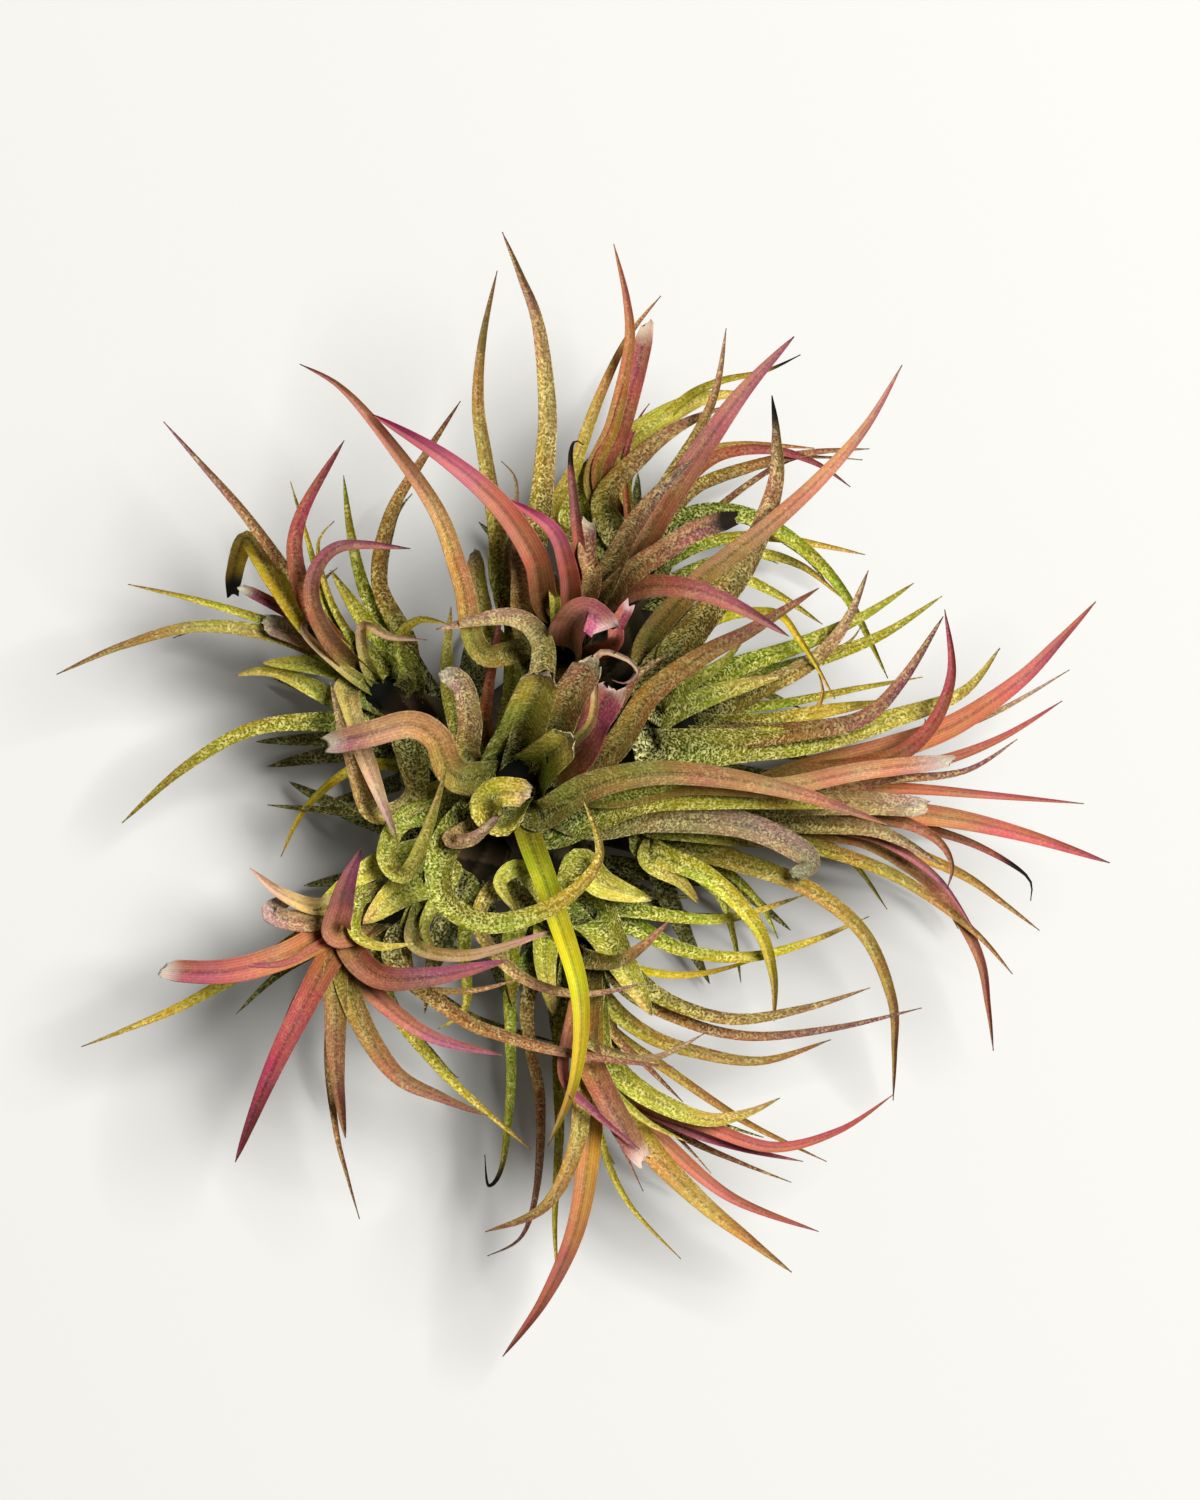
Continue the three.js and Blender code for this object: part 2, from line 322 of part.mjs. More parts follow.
// The two tall middle heads have no lower leaves, because the other heads fill the room under them.
function lowerRows(head, random) {
  const start = head.base;
  const rows = [];
  if (head.crown[2] > LOWER_CROWN) return rows;
  head.leaves.forEach((row, i) => {
    const [, width, mid, tip, ...plan] = row;
    const line = shares([start, ...plan]);
    const draw = random();
    if (i % LOWER_EVERY || line.length < LOWER_FROM_LENGTH || mid < LOWER_FROM_HEIGHT) return;
    const kept = plan.filter((p, k) => line.at[k + 1] < LOWER_LENGTH);
    const k = kept.length;
    const a = k ? plan[k - 1] : start;
    const b = plan[k];
    const f = (LOWER_LENGTH - line.at[k]) / (line.at[k + 1] - line.at[k]);
    const end = [a[0] + (b[0] - a[0]) * f, a[1] + (b[1] - a[1]) * f];
    const spread = (draw - 0.5) * LOWER_SPREAD;
    const lowMid = LOWER_MID[0] + LOWER_MID[1] * mid + spread;
    const lowTip = LOWER_TIP[0] + LOWER_TIP[1] * tip + spread;
    rows.push(["p", Math.max(LEAST_WIDTH, width * LOWER_WIDTH), lowMid, lowTip, ...kept, end]);
  });
  return rows;
}

function skirtRows(head, random) {
  if (head.crown[2] > LOWER_CROWN) return [];
  const within = ([low, high]) => low + (high - low) * random();
  const outward = Math.atan2(head.crown[1] - head.base[1], head.crown[0] - head.base[0]);
  return Array.from({ length: SKIRT_COUNT }, (unused, k) => {
    const turn = outward + SKIRT_FAN * ((k + SKIRT_JITTER * random()) / SKIRT_COUNT - 0.5);
    const length = within(SKIRT_LENGTH);
    const curl = SKIRT_CURL * (2 * random() - 1);
    const plan = SKIRT_STEPS.map((f) => [
      head.base[0] + length * f * Math.cos(turn) - curl * f * f * Math.sin(turn),
      head.base[1] + length * f * Math.sin(turn) + curl * f * f * Math.cos(turn),
    ]);
    return ["p", within(SKIRT_WIDTH), within(SKIRT_MID), within(SKIRT_TIP), ...plan];
  });
}

// ---- One leaf's centre line ----
const catmull = (a, b, c, d, t) =>
  0.5 * (2 * b + (c - a) * t + (2 * a - 5 * b + 4 * c - d) * t * t + (3 * b - a - 3 * c + d) * t * t * t);

// Adds a station in the middle of each long stretch, on the smooth curve through the points.
function withMiddles(points) {
  const out = [];
  points.forEach((p, i) => {
    out.push(p);
    const next = points[i + 1];
    if (!next || planDistance(p, next) < LONGEST_SPAN) return;
    const before = points[Math.max(0, i - 1)];
    const after = points[Math.min(points.length - 1, i + 2)];
    out.push([0, 1].map((k) => catmull(before[k], p[k], next[k], after[k], 0.5)));
  });
  return out;
}

function widthAt(leaf, s) {
  const blade = leaf.end === "b" ? 1 - BLUNT_LOSS * s * s : (1 - s ** TAPER_POWER) ** TAPER_ROUND;
  const sheath = 1 + SHEATH_EXTRA * Math.max(0, 1 - s / SHEATH_END);
  return leaf.width * blade * sheath;
}

const depthOf = (width) => Math.max(LEAST_DEPTH, KEEL_SHARE * width);

// The leaf grows from the stem's axis, the lower leaves lower down, and arcs through its three heights.
function makeLeaf(head, name, row, rank) {
  const [end, width, mid, tip, ...plan] = row;
  const t = ROOT_LOW + (ROOT_HIGH - ROOT_LOW) * rank;
  const root = head.base.map((b, k) => b + (head.crown[k] - b) * t);
  const points = withMiddles([[root[0], root[1]], ...plan]);
  const { at, length } = shares(points);
  const heights = at.map(
    (s) => root[2] * (1 - s) * (1 - 2 * s) + 4 * mid * s * (1 - s) + tip * s * (2 * s - 1));
  heights.forEach((z, i) => {
    if (i) heights[i] = Math.max(LEAST_CLEARANCE, z);
  });
  return { name, end, width, points, at, length, heights };
}

function leavesOf(name, head, random) {
  const rows = [...head.leaves, ...lowerRows(head, random), ...skirtRows(head, random)];
  const order = rows.map((row, i) => i).sort((i, j) => rows[i][2] - rows[j][2] || i - j);
  return rows.map((row, i) => makeLeaf(head, name, row, order.indexOf(i) / (rows.length - 1)));
}

// ---- Bending the leaves clear of each other ----
function samplesOf(leaf, index) {
  const out = [];
  for (let i = 0; i + 1 < leaf.points.length; i++) {
    const [a, b] = [leaf.points[i], leaf.points[i + 1]];
    const span = planDistance(a, b);
    const steps = Math.max(1, Math.ceil(span / SAMPLE));
    const slope = (leaf.heights[i + 1] - leaf.heights[i]) / span;
    for (let k = 0; k < steps; k++) {
      const f = (k + 0.5) / steps;
      const s = leaf.at[i] + (leaf.at[i + 1] - leaf.at[i]) * f;
      const width = widthAt(leaf, s);
      out.push({
        leaf: index, span: i, f, s, width,
        x: a[0] + (b[0] - a[0]) * f, y: a[1] + (b[1] - a[1]) * f,
        tx: (b[0] - a[0]) / span, ty: (b[1] - a[1]) / span,
        half: span / steps / 2, depth: depthOf(width) * Math.min(STEEPEST, Math.hypot(1, slope)),
      });
    }
  }
  return out;
}

// Two samples' small rectangles overlap in plan when no edge direction of either parts them.
function overlapInPlan(a, b) {
  const [dx, dy] = [b.x - a.x, b.y - a.y];
  const reach = (r, x, y) => r.half * Math.abs(r.tx * x + r.ty * y) +
    (r.width / 2) * Math.abs(r.tx * y - r.ty * x);
  const axes = [[a.tx, a.ty], [-a.ty, a.tx], [b.tx, b.ty], [-b.ty, b.tx]];
  return axes.every(([x, y]) => Math.abs(dx * x + dy * y) < reach(a, x, y) + reach(b, x, y) + GAP);
}

const heightAt = (leaf, q) => leaf.heights[q.span] * (1 - q.f) + leaf.heights[q.span + 1] * q.f;

function crossings(leaves) {
  const samples = leaves.flatMap((leaf, i) => samplesOf(leaf, i));
  const pairs = new Map();
  samples.forEach((a, i) => {
    for (let j = i + 1; j < samples.length; j++) {
      const b = samples[j];
      if (leaves[a.leaf].name === leaves[b.leaf].name) continue;
      if (Math.hypot(b.x - a.x, b.y - a.y) > FARTHEST || !overlapInPlan(a, b)) continue;
      const key = a.leaf * leaves.length + b.leaf;
      if (!pairs.has(key)) pairs.set(key, []);
      pairs.get(key).push([a, b]);
    }
  });
  const out = [];
  for (const list of pairs.values()) {
    const sum = list.reduce((t, [a, b]) => t + heightAt(leaves[a.leaf], a) - heightAt(leaves[b.leaf], b), 0);
    for (const [a, b] of list) {
      const [upper, lower] = sum >= 0 ? [a, b] : [b, a];
      const reach = (a.width + b.width) / 2 + GAP;
      const near = 1 - Math.min(1, Math.hypot(b.x - a.x, b.y - a.y) / reach) ** 2;
      out.push({ upper, lower, need: GAP + EDGE_TILT * (a.width + b.width) + upper.depth * near });
    }
  }
  return out;
}

function bendClear(leaves) {
  const pairs = crossings(leaves);
  const bell = (gap) => Math.exp(-((gap / BEND_REACH) ** 2));
  const spread = (q) => leaves[q.leaf].at.map((s, i) => (i ? bell(s - q.s) : 0));
  const gain = (q, w) => Math.max(LEAST_GAIN, w[q.span] * (1 - q.f) + w[q.span + 1] * q.f);
  for (const pair of pairs) {
    pair.up = spread(pair.upper).map((w, i, all) => w / gain(pair.upper, all));
    pair.down = spread(pair.lower).map((w, i, all) => w / gain(pair.lower, all));
  }
  for (let round = 0; round < ROUNDS; round++) {
    const lift = leaves.map((leaf) => leaf.heights.map(() => 0));
    const drop = leaves.map((leaf) => leaf.heights.map(() => 0));
    let worst = 0;
    for (const { upper, lower, need, up, down } of pairs) {
      const short = need - heightAt(leaves[upper.leaf], upper) + heightAt(leaves[lower.leaf], lower);
      if (short <= 0) continue;
      worst = Math.max(worst, short);
      const rise = lift[upper.leaf];
      const fall = drop[lower.leaf];
      up.forEach((w, i) => (rise[i] = Math.max(rise[i], (w * short) / 2)));
      down.forEach((w, i) => (fall[i] = Math.max(fall[i], (w * short) / 2)));
    }
    if (worst < SETTLED) break;
    leaves.forEach((leaf, k) => {
      for (let i = 1; i < leaf.heights.length; i++) {
        const z = leaf.heights[i] + STEP * (lift[k][i] - drop[k][i]);
        leaf.heights[i] = Math.max(LEAST_CLEARANCE, z);
      }
    });
  }
}

// ---- Solids ----
const wasm = await Module();
wasm.setup();
const { Manifold, Mesh } = wasm;

function solidFrom(vertices, faces) {
  const vertProperties = new Float32Array(vertices.flatMap((v) => [v.x, v.y, v.z]));
  return new Manifold(new Mesh({ numProp: 3, vertProperties, triVerts: new Uint32Array(faces.flat()) }));
}

// Closes rings of the same number of points into one solid; a one-point tip ends it where it is given.
function loft(rings, tip) {
  const n = rings[0].length;
  const vertices = rings.flat();
  const faces = [];
  for (let k = 2; k < n; k++) faces.push([0, k, k - 1]);
  for (let i = 0; i + 1 < rings.length; i++) {
    for (let k = 0; k < n; k++) {
      const [a, b] = [i * n + k, i * n + ((k + 1) % n)];
      faces.push([a, b, b + n], [a, b + n, a + n]);
    }
  }
  const last = (rings.length - 1) * n;
  if (tip) vertices.push(tip);
  for (let k = 0; tip && k < n; k++) faces.push([last + k, last + ((k + 1) % n), vertices.length - 1]);
  for (let k = 2; !tip && k < n; k++) faces.push([last, last + k - 1, last + k]);
  return solidFrom(vertices, faces);
}

// A blade is three-sided: a flat upper face between two edges, and a keel under its middle.
function bladeSolid(leaf, grow = 0, shift = 0) {
  const p = leaf.points.map(([x, y], i) => new THREE.Vector3(x, y, leaf.heights[i] + shift));
  const last = p.length - 1;
  const out = new THREE.Vector3().subVectors(p[last], p[0]).setZ(0).normalize();
  const under = out.multiplyScalar(LEAN).setZ(-1);
  const rings = p.map((point, i) => {
    const [before, after] = [p[Math.max(0, i - 1)], p[Math.min(last, i + 1)]];
    const along = new THREE.Vector3().subVectors(after, before).normalize();
    const side = new THREE.Vector3().crossVectors(along, under).normalize();
    const keel = new THREE.Vector3().crossVectors(side, along).normalize();
    const width = Math.max(LEAST_DEPTH, widthAt(leaf, leaf.at[i]));
    const top = point.clone().addScaledVector(keel, -grow);
    return [
      top.clone().addScaledVector(side, width / 2 + 2 * grow),
      top.clone().addScaledVector(side, -width / 2 - 2 * grow),
      point.clone().addScaledVector(keel, depthOf(width) + 2 * grow),
    ];
  });
  if (leaf.end === "b" || grow) return loft(rings);
  return loft(rings.slice(0, last), p[last]);
}

function ring(centre, axis, radius, sides) {
  const side = new THREE.Vector3(1, 0, 0).cross(axis).normalize();
  const other = new THREE.Vector3().crossVectors(axis, side);
  return Array.from({ length: sides }, (unused, k) => {
    const turn = (2 * Math.PI * k) / sides;
    return centre.clone()
      .addScaledVector(side, radius * Math.cos(turn))
      .addScaledVector(other, radius * Math.sin(turn));
  });
}

function stemSolid(head, grow = 0) {
  const base = new THREE.Vector3(...head.base);
  const crown = new THREE.Vector3(...head.crown);
  const axis = crown.clone().sub(base).normalize();
  const foot = base.clone().addScaledVector(axis, -STEM_SINK - grow);
  const rings = [
    ring(foot, axis, head.stem[0] * STEM_FOOT + grow, STEM_SIDES),
    ring(base, axis, head.stem[0] + grow, STEM_SIDES),
    ring(crown, axis, head.stem[1] + grow, STEM_SIDES),
  ];
  return loft(rings, crown.clone().addScaledVector(axis, STEM_TIP + grow));
}

// The whole of a union: its largest piece, with the scraps and any sealed hollow left out.
function largest(solid) {
  return solid.decompose().reduce((best, piece) => (piece.volume() > best.volume() ? piece : best));
}

function rootstockSolid() {
  const random = randomSource(BARK_SEED);
  const lumps = Array.from({ length: ROOTSTOCK_SIDES }, () => 1 + ROOTSTOCK_LUMP * (2 * random() - 1));
  const rings = ROOTSTOCK_RINGS.map(([z, radius], i) =>
    lumps.map((lump, k) => {
      const turn = (2 * Math.PI * (k + ROOTSTOCK_TWIST * (i % 2))) / ROOTSTOCK_SIDES;
      const r = radius * lump * (1 + ROOTSTOCK_LUMP * (2 * random() - 1));
      return new THREE.Vector3(
        ROOTSTOCK_CENTRE[0] + ROOTSTOCK_STRETCH[0] * r * Math.cos(turn),
        ROOTSTOCK_CENTRE[1] + ROOTSTOCK_STRETCH[1] * r * Math.sin(turn), z);
    }));
  return loft(rings, new THREE.Vector3(...ROOTSTOCK_CENTRE, ROOTSTOCK_TOP));
}

// Edges that don't part exactly two faces, once points closer than the weld are taken as one.
function pinchedEdges(solid, weld) {
  const { vertProperties, triVerts } = solid.getMesh();
  const spot = (i) => [0, 1, 2].map((k) => Math.trunc(vertProperties[3 * i + k] / weld + 0.5)).join();
  const faces = new Map();
  for (let i = 0; i < triVerts.length; i += 3) {
    const corners = [0, 1, 2].map((k) => spot(triVerts[i + k]));
    if (new Set(corners).size < 3) continue;
    corners.forEach((a, k) => {
      const b = corners[(k + 1) % 3];
      const edge = a < b ? a + " " + b : b + " " + a;
      faces.set(edge, (faces.get(edge) || 0) + 1);
    });
  }
  return [...faces.values()].filter((count) => count !== 2).length;
}

// Makes a solid again with small seeded shifts until no two of its faces touch along an edge.
function withoutPinches(make) {
  for (let attempt = 0; attempt < TRIES; attempt++) {
    const random = randomSource(attempt);
    const solid = largest(make(() => (attempt ? NUDGE * (random() - 0.5) : 0)));
    if (WELDS.every((weld) => !pinchedEdges(solid, weld))) return solid;
  }
  throw new Error("a solid still touches itself along an edge");
}

// ---- Heads: stem and blades fused, then cut clear of the heads made before ----
const random = randomSource(GROWTH_SEED);
const leaves = Object.entries(HEADS).flatMap(([name, head]) => leavesOf(name, head, random));
bendClear(leaves);

const cutters = [];
const solids = new Map();
for (const [name, head] of Object.entries(HEADS)) {
  const own = leaves.filter((leaf) => leaf.name === name);
  solids.set(name, withoutPinches((shift) => {
    const solid = Manifold.union([stemSolid(head), ...own.map((leaf) => bladeSolid(leaf, 0, shift()))]);
    const near = cutters.filter((cutter) => !solid.intersect(cutter).isEmpty());
    return near.length ? solid.subtract(Manifold.union(near)) : solid;
  }));
  cutters.push(stemSolid(head, GAP), ...own.map((leaf) => bladeSolid(leaf, GAP)));
}

const sockets = Manifold.union(cutters);
const socketedRootstock = (shift) => rootstockSolid().subtract(sockets.translate([0, 0, shift()]));
solids.set("rootstock", withoutPinches(socketedRootstock));

// ---- Meshes ----
function meshOf(name, solid, color) {
  const { vertProperties, triVerts } = solid.getMesh();
  const geometry = new THREE.BufferGeometry();
  geometry.setAttribute("position", new THREE.BufferAttribute(new Float32Array(vertProperties), 3));
  geometry.setIndex(new THREE.BufferAttribute(new Uint32Array(triVerts), 1));
  geometry.computeVertexNormals();
  const material = new THREE.MeshStandardMaterial({ color, roughness: ROUGHNESS, metalness: 0 });
  const mesh = new THREE.Mesh(geometry, material);
  mesh.name = name;
  return mesh;
}

const plant = new THREE.Group();
plant.name = "air_plant";
for (const [name, solid] of solids) {
  plant.add(meshOf(name, solid, name === "rootstock" ? BARK_COLOR : HEADS[name].color));
}

export default plant;
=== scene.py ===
import math

import bmesh
import bpy
import numpy as np
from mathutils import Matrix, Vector


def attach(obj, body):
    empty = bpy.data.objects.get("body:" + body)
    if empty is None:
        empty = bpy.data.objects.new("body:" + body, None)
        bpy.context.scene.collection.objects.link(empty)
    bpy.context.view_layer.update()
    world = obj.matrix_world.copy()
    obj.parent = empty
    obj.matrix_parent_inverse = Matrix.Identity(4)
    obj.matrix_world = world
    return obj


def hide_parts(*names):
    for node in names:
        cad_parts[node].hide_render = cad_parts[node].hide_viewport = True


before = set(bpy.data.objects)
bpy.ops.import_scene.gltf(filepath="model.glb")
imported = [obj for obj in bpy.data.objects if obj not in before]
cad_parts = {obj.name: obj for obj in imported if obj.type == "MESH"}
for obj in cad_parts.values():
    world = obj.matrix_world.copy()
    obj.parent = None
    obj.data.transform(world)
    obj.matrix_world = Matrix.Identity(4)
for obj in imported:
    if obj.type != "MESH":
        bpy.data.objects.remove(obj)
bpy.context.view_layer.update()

# ---- Rosettes ----
# A rosette is a short stem with all its leaves. A leaf is a narrow channelled blade of living tissue under
# silver scales. It grows from the stem in a broad sheath and tapers to a point, and old ones dry to paper.
#
# Each leaf is (finish, end, width, height at mid length, height at tip, plan points from crown to tip), in
# mm. Its end is "p" for pointed or "b" for blunt. A stem has a radius at its base and one at its crown.
MM = 0.001
HEADS = {}
HEADS["head_centre"] = dict(base=(-3, 1.5, 13), crown=(-3, 3.5, 31), stem=(4.5, 3.0), leaves=[
    ("olive", "b", 5.2, 47, 57, (-2.6, 7), (-1.2, 11), (0.6, 15.6)),
    ("brown", "b", 3.8, 46, 54, (1.6, 8.5), (3.6, 12.5), (6.6, 17.2)),
    ("red", "b", 4.2, 40, 47, (4, 5.5), (6.4, 9.8), (9.2, 14)),
    ("cream", "p", 1.1, 50, 46, (6, 9), (7, 17.6), (10.4, 17.6), (12.2, 15.8), (10.6, 14.5), (8.8, 15)),
    ("plum", "p", 1.6, 42, 46, (8, 9.5), (12.4, 15.6), (16, 18.2)),
    ("olive", "b", 4.6, 43, 50, (-1.8, 2.8), (0.8, 5.2), (3.8, 7.6)),
    ("olive", "b", 3.4, 43, 46, (-4.4, -2.2), (-6.6, -1), (-5, 1), (-1, 0.8)),
    ("rust", "p", 3.0, 45, 42, (8, 5.5), (13.6, 13), (20, 17.8), (26.4, 21.2), (34.6, 26.3)),
    ("peach", "p", 3.0, 46, 47, (-0.5, -2), (6, 1.6), (14, 3.4), (23, 2.8), (32, 0.9), (43.4, -3.1)),
    ("peach", "p", 2.4, 43, 46, (8, 0.5), (18, 1.9), (30, 1.7), (40, 3.7), (51, 4.9)),
    ("olive", "p", 4.3, 39, 39, (0.5, -2.6), (7, -1.2), (14, 0.6), (24, 0.4), (36, -0.9)),
    ("ash", "b", 3.4, 38, 33, (6, -2.6), (14, -2.2), (25, -3), (32, -6), (33.6, -8), (31.4, -9.5)),
    ("tan", "b", 2.9, 42, 47, (-8.7, 4.6), (-8.6, 10), (-9.6, 14.4), (-12, 15.8)),
    ("peach", "b", 2.3, 46, 45, (-10.2, 3), (-12.8, 7.8), (-16, 9.4), (-21, 8.2), (-26.4, 6.9)),
    ("frost", "p", 2.6, 35, 50, (-10, -1), (-17, -2.4), (-19.2, -7), (-16.8, -9.2), (-14, -4), (-11.4, 3.9)),
    ("olive", "p", 2.8, 47, 46, (-11.2, -5), (-11.8, -12), (-6, -15.1), (2, -12.8), (7.4, -7), (5.4, 0.3)),
    ("dry", "p", 2.3, 41, 44, (-7, -2.4), (-11, -4.8), (-8, -4.6), (-3.9, -0.7)),
    ("ash", "p", 2.5, 51, 55, (-1.4, 8), (0, 14), (0.3, 19.6), (-3.6, 22.6), (-12.6, 21)),
    ("red", "p", 1.5, 38, 44, (-6.6, 8), (-6.4, 13.4), (-5.4, 19), (-4.6, 25)),
    ("green", "p", 2.6, 33, 40, (-4, 8), (-3.4, 14), (-3.6, 20), (-4.4, 26)),
    ("frost", "p", 2.4, 31, 38, (-9, 7), (-11, 12), (-11.6, 17), (-11, 24)),
    ("lemon", "p", 2.1, 43, 37, (-1.5, -4), (1.6, -12.6), (5, -24), (4.4, -34.4), (1, -43)),
])
HEADS["head_top"] = dict(base=(1, 12.6, 15), crown=(5, 24, 41), stem=(4.2, 2.6), leaves=[
    ("tan", "p", 2.5, 62, 44, (-1.6, 24), (0.2, 36), (1.1, 48), (0, 58), (-4.6, 70.3)),
    ("gold", "p", 2.0, 52, 34, (-3.4, 23), (-5.4, 35), (-7.5, 49), (-7, 57), (-5.3, 66)),
    ("peach", "p", 2.3, 62, 48, (-6.6, 18), (-9.4, 27), (-12.4, 35.4),
     (-19, 44.8), (-24.4, 50.8), (-29.5, 53.8)),
    ("pink", "p", 2.9, 68, 60, (0.9, 24), (-0.4, 29.6), (-4.6, 35.9), (-11.4, 41.7), (-20.3, 47.2)),
    ("pink", "p", 2.4, 60, 62, (3.9, 24), (3.5, 28.6), (1.6, 33.2), (-3.8, 36.8)),
    ("rose_dead", "p", 1.6, 55, 60, (4.9, 29), (4.6, 34), (3.9, 41.4), (4.4, 43.9), (5.5, 43.4)),
    ("brown", "b", 2.4, 49, 54, (6.3, 26), (5.9, 30.4), (6.1, 34.4)),
    ("dry", "p", 1.1, 50, 56, (-3.6, 27), (-2.9, 34), (-2.8, 39.2), (-4.6, 41.6)),
    ("rose", "p", 3.3, 64, 60, (9.6, 27), (15.3, 36), (21.2, 44.7), (25.6, 50.6), (31.2, 56.7)),
    ("plum", "p", 2.7, 62, 66, (7.9, 27), (11.4, 33.4), (15, 38), (18.8, 41.6)),
    ("plum_dead", "b", 2.7, 58, 59, (10, 26.8), (15, 30.4), (19.4, 33.1), (24.2, 34.6)),
    ("rose", "p", 2.7, 60, 52, (7.6, 24.2), (13, 26.2), (19, 25.8), (25, 23.4), (30.7, 20.2)),
    ("rose", "b", 4.2, 58, 60, (3.2, 17.6), (3.8, 21), (5.8, 22.8), (8.4, 21)),
    ("red", "b", 2.0, 50, 54, (8.8, 19), (9.6, 21.6), (11.2, 24.2)),
    ("brown", "p", 2.8, 50, 56, (-1.6, 21), (-2.4, 28), (-3, 34)),
    ("green", "b", 1.4, 46, 52, (2.1, 22), (1.7, 27.8)),
    ("frost", "b", 2.4, 38, 42, (-5.4, 20), (-7.4, 25.4), (-8, 30.8)),
    ("green", "p", 2.2, 36, 40, (-2.4, 22), (-5.4, 27), (-6, 33)),
])
HEADS["head_back"] = dict(base=(8.6, 18.4, 13), crown=(13, 32, 23), stem=(4.2, 2.8), leaves=[
    ("frost", "p", 3.2, 34, 31, (4.4, 36), (8.4, 42), (14, 46.8), (20, 50), (25.9, 50.9)),
    ("gold", "p", 1.7, 38, 33, (1.6, 34), (4.4, 41.6), (7.4, 50), (11, 57.6), (15.1, 62.9)),
    ("orange", "p", 1.9, 40, 40, (6.6, 39), (9.2, 47), (11.1, 56), (10.8, 62), (9.2, 69)),
    ("red", "b", 2.5, 37, 40, (7.8, 40), (10, 46), (12, 53), (13.4, 59.2)),
    ("red", "p", 0.9, 33, 33, (10.6, 42), (12.1, 47), (13.7, 49.5)),
    ("olive_dead", "p", 1.4, 34, 34, (11, 41), (17, 49), (22, 52), (28, 53.4), (32.5, 55.5)),
    ("brown", "p", 2.6, 37, 34, (8, 37), (13, 43.2), (17.6, 46.6), (22.8, 49)),
    ("tan", "p", 1.5, 38, 43, (15, 38), (19.8, 46), (22, 51.4), (23.1, 58.4)),
    ("gold", "p", 1.4, 31, 26, (15, 38), (20, 43), (25.4, 44.4), (34.4, 44.1)),
    ("red", "p", 1.6, 34, 27, (16, 37), (21.6, 42.6), (28.4, 43.7), (34.4, 42.1), (38.9, 39.2)),
    ("brown", "p", 1.6, 31, 30, (16, 35.4), (20, 39.4), (27, 41.9), (34, 43.4), (41.2, 43.9)),
    ("plum", "p", 0.9, 28, 27, (24, 38), (31, 42.5), (35.6, 42.9), (40.4, 42.6)),
    ("green", "p", 1.9, 31, 13, (15, 32), (19.4, 35.5), (26, 35.5), (33, 31.4), (38.6, 25.2), (44, 15.3)),
    ("olive", "p", 1.5, 28, 18, (15.6, 30), (21, 32.3), (28, 33), (35, 32), (41, 30.9)),
    ("olive", "p", 1.6, 27, 16, (16, 27), (21, 29.4), (27, 30.9), (33, 29.3), (38.2, 25.4)),
    ("olive", "p", 1.6, 25, 18, (17, 25), (24, 27.8), (29.6, 25.9), (35.6, 22.1)),
])
HEADS["head_east"] = dict(base=(12, 6.4, 13), crown=(19, 10.6, 22), stem=(4.2, 2.6), leaves=[
    ("tan_dead", "p", 3.3, 51, 52, (14, 14), (19.4, 21.6), (25, 28.6),
     (28.8, 38), (29.1, 44.6), (28.6, 49.8)),
    ("peach", "p", 2.5, 55, 55, (13, 18), (18.6, 26), (28, 33.6), (34.2, 39.2), (40, 45.8), (44.5, 53.4)),
    ("green", "p", 2.2, 33, 31, (16, 12), (24, 16.4), (32, 19.2), (40, 22.8), (46.7, 27.1)),
    ("green", "p", 2.0, 30, 29, (18, 11.4), (27, 15.2), (36, 18), (43, 20.8), (50.3, 25.5)),
    ("tan", "p", 2.3, 35, 35, (20, 10.6), (28, 14.2), (34, 17.4), (38, 22), (40.9, 28.6)),
    ("olive", "p", 1.2, 27, 33, (24, 13), (34, 17.6), (38.4, 19.6), (40.2, 21.9)),
    ("olive", "p", 1.2, 26, 25, (23, 11), (31, 12.2), (40, 14), (48, 15.4)),
    ("bright", "p", 1.2, 29, 36, (24, 9.8), (33, 10.8), (35.2, 13), (34.6, 16.2)),
    ("olive", "p", 2.4, 33, 30, (20, 8.8), (28, 9.6), (36, 11.2), (43.4, 12.4)),
    ("tan", "p", 1.7, 30, 29, (18, 8), (26, 8.6), (31, 8.2), (37.4, 8.4)),
    ("frost", "p", 3.2, 34, 33, (14, 6.4), (24, 6.7), (34, 7.4), (44, 10.2), (52.6, 13.4), (57.4, 19)),
    ("plum", "p", 2.3, 38, 42, (24, 8.2), (34, 8.8), (40.4, 10.4), (45, 15), (50, 22.8)),
    ("frost", "p", 2.8, 31, 34, (14, 10), (20, 12.6), (25, 14.2), (30.6, 15.6)),
    ("frost", "p", 2.0, 33, 38, (14.6, 12), (19.6, 15.2), (23, 17.4), (25.3, 19.9)),
    ("olive", "p", 1.9, 29, 32, (18, 13), (26, 16.4), (31, 18.6), (35.4, 20.1)),
    ("bright", "p", 1.3, 38, 34, (20, 21), (28.6, 23.4), (32.4, 19.8), (36.8, 12.6)),
])
